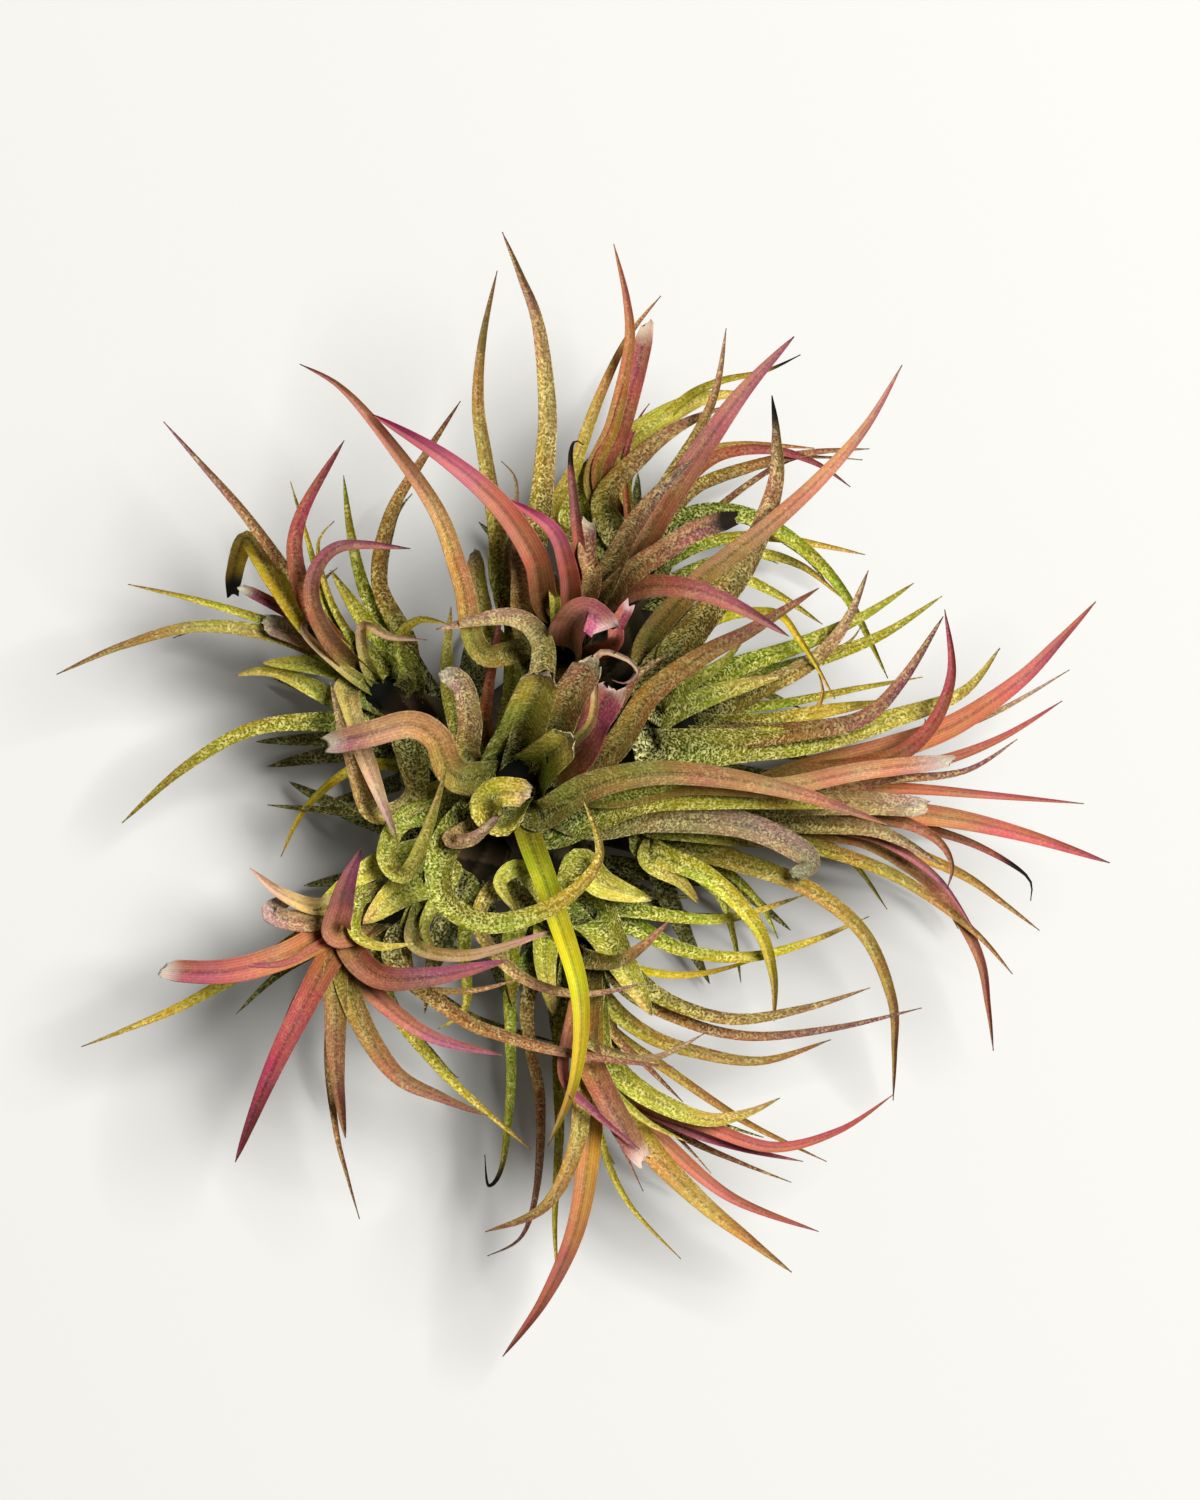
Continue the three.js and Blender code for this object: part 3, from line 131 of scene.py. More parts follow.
HEADS["head_right"] = dict(base=(13, -3, 12), crown=(23, -1.6, 20), stem=(4.2, 2.8), leaves=[
    ("red", "p", 2.4, 36, 44, (34, 3.4), (43, 5), (48.4, 9), (51, 15.6), (50.1, 23.6)),
    ("coral", "p", 3.2, 33, 32, (32, 3), (43.6, 6.4), (51.6, 9.4), (59.6, 14.8), (69.4, 24.8)),
    ("ash", "p", 1.3, 29, 28, (34, 3), (48, 7.6), (57, 11), (66.3, 16.3)),
    ("coral", "p", 1.8, 31, 30, (32, 1.8), (44, 3.8), (51, 5.2), (58, 8), (65.3, 12.4)),
    ("plum", "p", 1.5, 29, 27, (30, 1.2), (43, 2.6), (53, 3.6), (59.8, 7.6)),
    ("coral", "p", 1.6, 27, 24, (30, 0.6), (43, 1.5), (55, 0.7), (68.3, -0.5)),
    ("coral", "p", 3.0, 31, 27, (28, -1.2), (42, -1.4), (51, -2.2), (61, -4.5), (71.4, -7.9)),
    ("orange_dead", "p", 1.6, 27, 24, (32, -2), (45, -2.8), (54, -5.4), (61, -9.5), (61.6, -12.7)),
    ("gold", "p", 1.9, 25, 20, (32, -3), (45, -6), (53, -9.4), (62.9, -16.5)),
    ("orange", "p", 2.1, 36, 38, (34, -1), (44, -2.4), (49.2, -4.8), (51.2, -8), (50.6, -11)),
    ("orange", "p", 2.1, 33, 17, (30, -3), (42, -5.6), (50, -11.4), (54.8, -19.2), (57.2, -31.8)),
    ("rose", "p", 1.4, 35, 33, (31, -2.4), (43, -5.2), (49.6, -9.8), (54.4, -16.6)),
    ("gold", "p", 1.7, 34, 25, (24, -3.6), (35, -6), (45, -9.8), (54, -16.2), (59.3, -21.9)),
    ("ash", "p", 2.4, 36, 36, (22, -1.4), (32, -2.8), (42, -3.8), (50, -8)),
    ("green", "p", 1.2, 24, 16, (24, -3), (34, -4.7), (39.4, -8), (43.8, -13.9)),
    ("ash", "b", 3.0, 38, 41, (25, -0.4), (34, -0.3), (42, -0.4), (47.9, -0.9)),
    ("brown", "p", 2.5, 37, 37, (25, 0), (33, 1), (44.6, 2.6)),
    ("dark", "p", 2.0, 31, 32, (20, -1.2), (28, -0.9), (38.6, -2)),
    ("frost", "p", 2.2, 31, 29, (14, -3.4), (20, -4.4), (29.4, -5.9)),
    ("gold", "p", 2.1, 30, 8, (15, -4.6), (24, -7.5), (33, -10.8), (40.4, -16.6), (44.2, -25), (44.8, -38.4)),
    ("olive", "p", 2.4, 30, 12, (13, -5.6), (21, -9.6), (27, -15.6), (29.3, -22), (29.6, -28.2)),
    ("frost", "p", 2.9, 29, 26, (13.6, -7), (17.6, -10.2), (19.9, -13)),
    ("green", "p", 1.3, 24, 18, (16, -5.4), (22.6, -8.4), (27.4, -12.8), (30, -17.6)),
    ("green", "p", 1.2, 20, 10, (16, -6.4), (22.4, -12), (24.4, -17.4), (25.4, -23.3)),
])
HEADS["head_bottom"] = dict(base=(2, -7, 12), crown=(6.4, -20, 21), stem=(4.3, 2.8), leaves=[
    ("olive", "p", 1.5, 24, 22, (10, -13.6), (17, -14.7), (24, -14.8), (33.2, -12)),
    ("olive", "p", 1.6, 22, 21, (11, -15.6), (18, -18.9), (26, -19.8), (34, -17.8), (41.4, -14.7)),
    ("bright", "p", 1.1, 17, 14, (10, -20), (15, -22), (21, -21.9), (28.4, -19.9)),
    ("dark", "p", 1.2, 20, 19, (7, -11), (13, -12), (19.6, -12.3)),
    ("tan", "p", 1.7, 33, 37, (5, -19.6), (9.4, -20.2), (13, -18), (16.1, -15)),
    ("tan", "p", 1.7, 25, 25, (9.6, -20), (15.4, -24.9), (24, -27.5), (33, -26.2), (41.4, -23.6)),
    ("plum", "p", 1.4, 23, 22, (10, -23), (17, -27.4), (26, -29.7), (37, -28.7), (48, -26.2)),
    ("gold", "p", 1.9, 26, 25, (7.4, -24), (13, -29.2), (20, -31.7), (28, -32.7), (36.5, -30.1)),
    ("ash", "p", 1.4, 36, 39, (4.6, -28), (8.6, -31.3), (14.4, -31.9), (20.5, -28.9)),
    ("gold", "p", 1.4, 24, 23, (8, -28), (16.4, -34.2), (25, -40), (36, -45.5)),
    ("brown", "p", 1.3, 25, 26, (9, -29), (13.4, -33.4), (17.9, -37.9)),
    ("frost", "p", 3.0, 31, 31, (6.6, -30), (12, -36), (20, -39.7), (25.4, -39.2), (30, -37.2)),
    ("coral", "p", 2.0, 28, 30, (9, -34.4), (20, -40.5), (29, -43.4), (37.4, -41.3), (44.2, -36.8)),
    ("rose", "p", 1.9, 26, 25, (9, -35), (17, -40.6), (25, -43.6), (33, -45.4)),
    ("brown", "p", 1.4, 22, 21, (9.6, -37), (18, -42.4), (25, -45.6), (31.6, -48.2)),
    ("tan", "p", 1.1, 22, 20, (12, -38), (17.4, -42.6), (21.5, -47.1)),
    ("frost", "p", 1.5, 31, 29, (7.6, -34), (12.6, -39.6), (18.4, -42.8)),
    ("coral", "p", 2.3, 26, 23, (8.4, -36), (15.6, -43), (24, -49.9), (35, -54.3)),
    ("gold", "p", 3.3, 28, 20, (7.8, -34), (13.4, -43.2), (20, -50.2), (26.4, -55.4), (31.7, -59.6)),
    ("rust", "b", 3.3, 37, 40, (5.8, -31), (8.4, -37), (12.9, -44.8)),
    ("rose", "p", 1.5, 40, 41, (3, -34), (6.8, -38.6), (12.4, -43.2)),
    ("plum", "p", 0.9, 30, 28, (7.8, -38), (10.4, -43.6), (12.9, -49)),
    ("olive", "p", 1.3, 24, 20, (6.4, -34), (7.6, -42.6), (11, -50.6), (17.7, -57.9)),
    ("sunset", "p", 3.0, 35, 17, (6.2, -31), (6.2, -42), (4.6, -53), (0.6, -62.4), (-4.8, -70.4)),
    ("gold", "p", 2.5, 39, 36, (5.4, -33), (4.6, -42.6), (0.6, -50.4), (-6.8, -53.7)),
    ("olive", "p", 1.4, 24, 15, (2.4, -30), (2.4, -42), (1.8, -53), (2.2, -61.4)),
    ("plum", "p", 1.4, 24, 13, (-1.6, -25), (0, -38), (-0.4, -48.4), (-2.4, -55.2), (-6.8, -57.9)),
    ("green_dead", "p", 1.4, 24, 13, (-3, -22), (-3.7, -36), (-4.8, -46), (-6.6, -48.8), (-7.1, -45)),
    ("frost", "p", 3.3, 28, 29, (6.4, -14), (10.4, -20.6), (14, -27)),
    ("frost", "p", 3.6, 28, 27, (5, -8.4), (8, -10.6), (14, -12.6)),
    ("frost", "p", 2.3, 31, 30, (-2.4, -8.6), (-5, -10.4), (-2.6, -14.4)),
    ("tan", "p", 1.8, 31, 32, (-5.4, -11), (-7.6, -16), (-2.4, -22), (5, -24.2), (13.4, -22.8)),
    ("frost", "p", 2.6, 24, 27, (1.6, -15), (0.6, -20), (1.6, -27)),
    ("green", "p", 2.4, 24, 24, (-1, -13), (-3.6, -18), (-3.4, -26)),
])
HEADS["head_lower_left"] = dict(base=(-8.4, -6.6, 12), crown=(-20.4, -14.4, 29), stem=(4.2, 2.6), leaves=[
    ("rose", "p", 2.7, 43, 54, (-24.9, -16.4), (-24.5, -13), (-23.4, -9.4), (-21.7, -5.8)),
    ("coral", "b", 2.5, 40, 37, (-26, -16.4), (-32, -19.4), (-39, -21.2), (-47, -21.1)),
    ("rose", "p", 1.2, 38, 40, (-26.8, -17.6), (-32, -20.2), (-38.4, -20.2)),
    ("olive", "p", 1.7, 30, 25, (-26, -15), (-35, -20.4), (-46, -26.3), (-57.6, -31)),
    ("dark", "p", 1.5, 27, 24, (-26, -17.6), (-33, -22), (-38.2, -26.9)),
    ("crimson", "p", 2.6, 41, 30, (-25, -18.2), (-30, -27), (-34, -35.4), (-38.1, -45.3)),
    ("brown", "p", 1.6, 34, 29, (-25.6, -18.6), (-30, -24.4), (-33.1, -30.6)),
    ("rust", "p", 2.7, 38, 27, (-24.6, -18.6), (-25.3, -27), (-25.2, -34.6), (-24.4, -42.4)),
    ("brown", "p", 1.2, 31, 20, (-24.8, -20), (-26.4, -31), (-25.6, -41), (-22.8, -52.9)),
    ("rust", "p", 2.5, 39, 33, (-24, -18.8), (-22.8, -26), (-18, -33.8), (-6.4, -39.4)),
    ("olive", "p", 1.6, 28, 25, (-20, -19), (-18.6, -26), (-12, -34.2), (-0.9, -44.1)),
    ("rose", "p", 2.0, 38, 37, (-23.6, -18.6), (-20.6, -24), (-13.6, -29.2), (-4.6, -31.7)),
    ("rose", "p", 2.6, 43, 46, (-23.6, -17.4), (-20, -21.7), (-13, -21.7), (-3.9, -19.7)),
    ("frost", "p", 1.8, 37, 38, (-22, -12), (-23, -16.2), (-20, -18.1), (-15.6, -17.8)),
    ("cream", "p", 1.6, 37, 40, (-15, -13), (-15.6, -18), (-8.6, -19.2), (2, -16)),
    ("tan", "p", 1.1, 31, 33, (-17, -16), (-15.4, -22.8), (-9, -23.8), (-2.4, -22.3)),
    ("cream", "p", 1.7, 38, 42, (-22, -12), (-27.4, -13.2), (-32, -11.5), (-35.8, -8.4)),
    ("ash", "b", 1.8, 37, 37, (-23, -13.6), (-29, -15), (-33.4, -14), (-31.6, -12.4)),
    ("frost", "p", 2.8, 31, 34, (-14.3, -7.2), (-20, -8), (-27.6, -12.8)),
    ("frost", "p", 4.0, 31, 35, (-13.6, -9.6), (-17.4, -11.4), (-22, -15.4)),
    ("frost", "p", 1.8, 28, 26, (-12.4, -9.6), (-16.4, -14.6), (-18, -21)),
    ("frost", "p", 2.0, 30, 29, (-11, -9), (-14.4, -15.6), (-12.4, -20)),
    ("plum", "p", 1.7, 38, 42, (-16.6, -14), (-18.3, -20), (-10, -26.9), (2, -31), (16.6, -33)),
    ("dark", "p", 2.0, 24, 20, (-10.6, -10), (-13.2, -18), (-14.6, -27)),
    ("green", "p", 1.8, 22, 18, (-9, -11), (-9.6, -18), (-9.4, -26), (-13, -29)),
])
HEADS["head_left"] = dict(base=(-10.4, 6.4, 12), crown=(-21.4, 14.6, 26), stem=(4.2, 2.8), leaves=[
    ("plum", "p", 1.6, 40, 45, (-27.6, 22), (-31, 27.8), (-36.6, 35.6), (-46.4, 46.8)),
    ("olive_broken", "b", 2.3, 40, 20, (-28.4, 21.4), (-33, 27.6), (-36.4, 32.4), (-38.2, 29), (-38.8, 25.6)),
    ("red", "b", 1.6, 35, 35, (-27, 20.4), (-32, 23.8), (-37.3, 26.6)),
    ("red", "p", 2.1, 45, 48, (-27.2, 22), (-30, 29), (-29.2, 35.4), (-24, 44.4)),
    ("olive", "p", 1.0, 39, 43, (-26.4, 24), (-28.6, 32), (-30.8, 39.5)),
    ("olive", "p", 1.0, 38, 42, (-26, 25), (-27.4, 31.6), (-25.4, 34.6)),
    ("rose", "p", 1.9, 48, 51, (-26.4, 20.6), (-28, 26.6), (-24.6, 31.2), (-15.8, 31)),
    ("green", "p", 1.8, 31, 36, (-18.6, 19), (-21.8, 26), (-23.5, 33), (-24.4, 40.4)),
    ("brown", "p", 1.9, 35, 40, (-16.6, 19), (-20, 27), (-18.6, 35.4), (-9.8, 49.5)),
    ("green", "p", 2.7, 31, 36, (-17, 17), (-21.6, 22), (-26, 28.6)),
    ("frost", "p", 2.6, 32, 38, (-18.4, 16), (-24, 20), (-27.8, 26)),
    ("dry", "b", 3.1, 31, 34, (-19.6, 14.4), (-27, 19.4), (-34.4, 22.2)),
    ("yellow", "p", 1.8, 33, 29, (-22, 15.4), (-31, 20), (-42, 21.7), (-52, 19.3), (-60.5, 15.7)),
    ("olive", "p", 1.3, 32, 28, (-23, 17.4), (-34, 22.3), (-42.6, 24.9), (-51.6, 27)),
    ("cream", "p", 1.3, 38, 38, (-24, 16), (-29, 20.6), (-28.4, 22.2), (-25.8, 19)),
    ("cream", "p", 1.4, 37, 39, (-21.6, 17), (-22, 21.6), (-18.4, 20.3), (-14, 19.9)),
    ("olive", "p", 1.6, 35, 38, (-16.6, 15), (-17.4, 20), (-15, 22.4), (-11.4, 21.9)),
    ("frost", "p", 2.6, 29, 28, (-19, 13), (-26, 16.6), (-34.8, 17.2)),
    ("frost", "p", 1.9, 26, 25, (-18, 11), (-25, 12.4), (-33, 16), (-38.3, 15.6)),
    ("olive", "p", 1.9, 26, 15, (-17.6, 9), (-26, 9.8), (-36, 8.9), (-44.8, 4), (-53, -3)),
    ("dark", "p", 2.2, 20, 16, (-17, 7.2), (-26, 7.6), (-36, 7.3)),
    ("bright", "p", 1.3, 20, 12, (-15.6, 4.6), (-23, 4.2), (-29.6, -1), (-33, -7.3)),
    ("dark", "p", 1.7, 20, 15, (-13, 1), (-22, -1.4), (-34.6, -0.7)),
    ("frost", "p", 3.0, 23, 23, (-11.6, 2.6), (-15, 0.6), (-19, -1.4)),
    ("tan", "p", 2.6, 33, 41, (-15.6, 1), (-20.8, -1.6), (-23.4, 5), (-25.9, 14.6)),
    ("cream", "p", 1.6, 36, 33, (-19.4, 12), (-24, 13.8), (-22.6, 8), (-17.8, -4.8)),
])

# Lower leaves: in low heads an older, shorter and lower leaf grows under each second long one.
LOWER_CROWN = 30  # a head whose crown is higher has neither these nor a skirt, mm
LOWER_EVERY = 2
LOWER_FROM = 24  # least length and height of the leaf above, mm
LOWER_LENGTH = 0.74  # share of the leaf above, as in the next
LOWER_WIDTH = 0.85
LOWER_MID = (5, 0.3)  # mm, and the share of the other leaf's height that is added
LOWER_TIP = (2, 0.12)
LOWER_SPREAD = 3  # mm by which those heights differ
LEAST_WIDTH = 1.2
# Skirt: the oldest leaves, which spread low round the foot of each outer head.
SKIRT_COUNT = 6
SKIRT_FAN = 2.9  # radians
SKIRT_JITTER = 0.7
SKIRT_LENGTH = (17, 26)  # least and most, mm, as in the three below
SKIRT_WIDTH = (1.8, 2.7)
SKIRT_MID = (8, 13)
SKIRT_TIP = (2.6, 6)
SKIRT_CURL = 4  # mm that a tip turns aside
SKIRT_STEPS = (0.36, 0.7, 1)
# Blade, as in the solids, in mm and in shares of its width or length.
LEAST_DEPTH = 0.85
KEEL_SHARE = 0.34
TAPER_POWER = 2.6
TAPER_ROUND = 0.9
BLUNT_LOSS = 0.25
SHEATH_EXTRA = 0.35
SHEATH_END = 0.12
LONGEST_SPAN = 12  # mm between two plan points
ROOT_LOW = 0.18  # where along the stem the lowest leaf starts
ROOT_HIGH = 0.92
LEAN = 0.15  # how far a blade's underside turns outward
LEAST_CLEARANCE = 1.6  # from the floor
SEED = 4711


def draws(seed):
    """Seeded numbers from 0 to 1, the same on every run."""
    state = seed
    while True:
        state = (state * 1664525 + 1013904223) % 4294967296
        yield state / 4294967296


def plan_run(points):
    """Share of the plan length at each point, and the whole length."""
    p = np.array(points, float)
    run = np.concatenate([[0], np.cumsum(np.hypot(*np.diff(p, axis=0).T))])
    return run / run[-1], run[-1]


def lower_leaves(head, seeded):
    """Rows of the lower leaves, each along the first part of an upper one."""
    rows = []
    for i, (_, _, width, mid, tip, *plan) in enumerate(head["leaves"]):
        run = np.array([head["base"][:2], *plan])
        at, length = plan_run(run)
        draw = next(seeded)
        if i % LOWER_EVERY or min(length, mid) < LOWER_FROM:
            continue
        k = np.searchsorted(at, LOWER_LENGTH) - 1
        last = run[k] + (run[k + 1] - run[k]) * ((LOWER_LENGTH - at[k]) / (at[k + 1] - at[k]))
        spread = (draw - 0.5) * LOWER_SPREAD
        heights = LOWER_MID[0] + LOWER_MID[1] * mid + spread, LOWER_TIP[0] + LOWER_TIP[1] * tip + spread
        rows.append(("shade", "p", max(LEAST_WIDTH, width * LOWER_WIDTH), *heights, *plan[:k], last))
    return rows


def skirt_leaves(head, seeded):
    """Rows of the skirt, fanned round the foot of a stem on the side that it leans to."""
    rows = []
    (bx, by, _), (cx, cy, _) = head["base"], head["crown"]
    outward = math.atan2(cy - by, cx - bx)

    def within(limits):
        return limits[0] + (limits[1] - limits[0]) * next(seeded)

    for k in range(SKIRT_COUNT):
        turn = outward + SKIRT_FAN * ((k + SKIRT_JITTER * next(seeded)) / SKIRT_COUNT - 0.5)
        length = within(SKIRT_LENGTH)
        curl = SKIRT_CURL * (2 * next(seeded) - 1)
        plan = [(bx + length * f * math.cos(turn) - curl * f * f * math.sin(turn),
                 by + length * f * math.sin(turn) + curl * f * f * math.cos(turn)) for f in SKIRT_STEPS]
        rows.append(("shade", "p", within(SKIRT_WIDTH), within(SKIRT_MID), within(SKIRT_TIP), *plan))
    return rows


def catmull(a, b, c, d, t):
    """A smooth curve through four points, at share t of the way from b to c."""
    return 0.5 * (2 * b + (c - a) * t + (2 * a - 5 * b + 4 * c - d) * t**2 + (3 * b - a - 3 * c + d) * t**3)


def with_middles(points):
    """The plan points, with one more on the curve in each long span."""
    p = np.array(points, float)
    out = []
    for i in range(len(p)):
        out.append(p[i])
        if i + 1 < len(p) and np.hypot(*(p[i + 1] - p[i])) >= LONGEST_SPAN:
            out.append(catmull(p[max(0, i - 1)], p[i], p[i + 1], p[min(len(p) - 1, i + 2)], 0.5))
    return np.array(out)


def width_at(leaf, s):
    """Width of the leaf's solid at share s of its length."""
    if leaf["end"] == "b":
        blade = 1 - BLUNT_LOSS * s**2
    else:
        blade = (1 - np.minimum(s, 1) ** TAPER_POWER) ** TAPER_ROUND
    return leaf["width"] * blade * (1 + SHEATH_EXTRA * np.maximum(0, 1 - s / SHEATH_END))


def depth_of(width):
    """Depth of the fold of a blade this wide."""
    return np.maximum(LEAST_DEPTH, KEEL_SHARE * width)


def grow_leaf(name, head, row, rank):
    """A leaf's centre line: from the stem's axis through its plan points, arched through its heights."""
    finish, end, width, mid, tip, *plan = row
    base, crown = np.array(head["base"], float), np.array(head["crown"], float)
    root = base + (crown - base) * (ROOT_LOW + (ROOT_HIGH - ROOT_LOW) * rank)
    points = with_middles([root[:2], *plan])
    s, _ = plan_run(points)
    z = root[2] * (1 - s) * (1 - 2 * s) + 4 * mid * s * (1 - s) + tip * s * (2 * s - 1)
    z[1:] = np.maximum(LEAST_CLEARANCE, z[1:])
    return dict(name=name, finish=finish, end=end, width=width, points=points, at=s, z=z)


seeded = draws(SEED)
leaves = []
for name, head in HEADS.items():
    rows = head["leaves"]
    if head["crown"][2] <= LOWER_CROWN:
        rows = [*rows, *lower_leaves(head, seeded), *skirt_leaves(head, seeded)]
    order = sorted(range(len(rows)), key=lambda i: (rows[i][3], i))
    leaves += [grow_leaf(name, head, row, order.index(i) / (len(rows) - 1)) for i, row in enumerate(rows)]

# Leaves of two heads that cross in plan are lifted or lowered past each other, as in the solids.
GAP = 0.35  # mm left between them
SAMPLE = 1.5  # mm
ROUNDS = 400
STEP = 0.6  # share of what is short that a round makes good
BEND_REACH = 0.22  # share of a leaf that a lift spreads over
EDGE_TILT = 0.08
STEEPEST = 3  # a steep blade counts as up to this many times deeper
FARTHEST = 9  # mm
SETTLED = 0.02
LEAST_GAIN = 0.15


def samples_of(leaves):
    """Short straight lengths of every leaf: their places in it, sizes, middles and directions."""
    rows = []
    for index, leaf in enumerate(leaves):
        p, z, at = leaf["points"], leaf["z"], leaf["at"]
        for i in range(len(p) - 1):
            span = np.hypot(*(p[i + 1] - p[i]))
            steps = max(1, math.ceil(span / SAMPLE))
            steep = min(STEEPEST, math.hypot(1, (z[i + 1] - z[i]) / span))
            for k in range(steps):
                f = (k + 0.5) / steps
                s = at[i] + (at[i + 1] - at[i]) * f
                width = float(width_at(leaf, s))
                middle = p[i] + (p[i + 1] - p[i]) * f
                way = (p[i + 1] - p[i]) / span
                rows.append((index, i, f, s, width, depth_of(width) * steep, span / steps / 2, *middle, *way))
    q = np.array(rows)
    return q[:, 0].astype(int), q[:, 1].astype(int), *q[:, 2:7].T, q[:, 7:9], q[:, 9:11]


def bend_clear(leaves):
    """Moves the leaves' heights until those of different heads that cross have GAP between them."""
    leaf_of, span_of, share, s, width, depth, half, middle, way = samples_of(leaves)
    heads = np.array([leaf["name"] for leaf in leaves])[leaf_of]

    def reach(j, x, y):
        along = half[j] * np.abs(way[j, 0] * x + way[j, 1] * y)
        return along + width[j] / 2 * np.abs(way[j, 0] * y - way[j, 1] * x)

    firsts, seconds = [], []
    for i in range(len(s)):
        j = np.arange(i + 1, len(s))
        d = middle[j] - middle[i]
        keep = (np.hypot(*d.T) <= FARTHEST) & (heads[j] != heads[i])
        j, d = j[keep], d[keep]
        over = np.ones(len(j), bool)
        for wx, wy in ((way[i, 0], way[i, 1]), (way[j, 0], way[j, 1])):
            for x, y in ((wx, wy), (-wy, wx)):
                over &= np.abs(d[:, 0] * x + d[:, 1] * y) < reach(i, x, y) + reach(j, x, y) + GAP
        firsts.append(np.full(over.sum(), i))
        seconds.append(j[over])
    a, b = np.concatenate(firsts), np.concatenate(seconds)

    most = max(len(leaf["z"]) for leaf in leaves)
    z = np.zeros((len(leaves), most))
    at = np.full((len(leaves), most), 1e3)
    for k, leaf in enumerate(leaves):
        z[k, : len(leaf["z"])], at[k, : len(leaf["z"])] = leaf["z"], leaf["at"]

    def height(j):
        return z[leaf_of[j], span_of[j]] * (1 - share[j]) + z[leaf_of[j], span_of[j] + 1] * share[j]

    # Of two leaves that cross, the one that is higher on the whole goes over.
    pair = leaf_of[a] * len(leaves) + leaf_of[b]
    _, group = np.unique(pair, return_inverse=True)
    first_over = (np.bincount(group, height(a) - height(b)) >= 0)[group]
    upper, lower = np.where(first_over, a, b), np.where(first_over, b, a)
    both = width[a] + width[b]
    near = 1 - np.minimum(1, np.hypot(*(middle[b] - middle[a]).T) / (both / 2 + GAP)) ** 2
    need = GAP + EDGE_TILT * both + depth[upper] * near

    def bend(j):
        """How much each station of a leaf moves to lift it by 1 mm at sample j."""
        w = np.exp(-(((at[leaf_of[j]] - s[j][:, None]) / BEND_REACH) ** 2))
        w[:, 0] = 0
        n = np.arange(len(j))
        gain = w[n, span_of[j]] * (1 - share[j]) + w[n, span_of[j] + 1] * share[j]
        return w / np.maximum(LEAST_GAIN, gain)[:, None]

    up, down = bend(upper), bend(lower)
    for _ in range(ROUNDS):
        short = need - height(upper) + height(lower)
        if short.max() < SETTLED:
            break
        m = short > 0
        lift, drop = np.zeros_like(z), np.zeros_like(z)
        np.maximum.at(lift, leaf_of[upper[m]], up[m] * short[m, None] / 2)
        np.maximum.at(drop, leaf_of[lower[m]], down[m] * short[m, None] / 2)
        z[:, 1:] = np.maximum(LEAST_CLEARANCE, z[:, 1:] + STEP * (lift - drop)[:, 1:])
    for k, leaf in enumerate(leaves):
        leaf["z"] = z[k, : len(leaf["z"])].copy()


bend_clear(leaves)

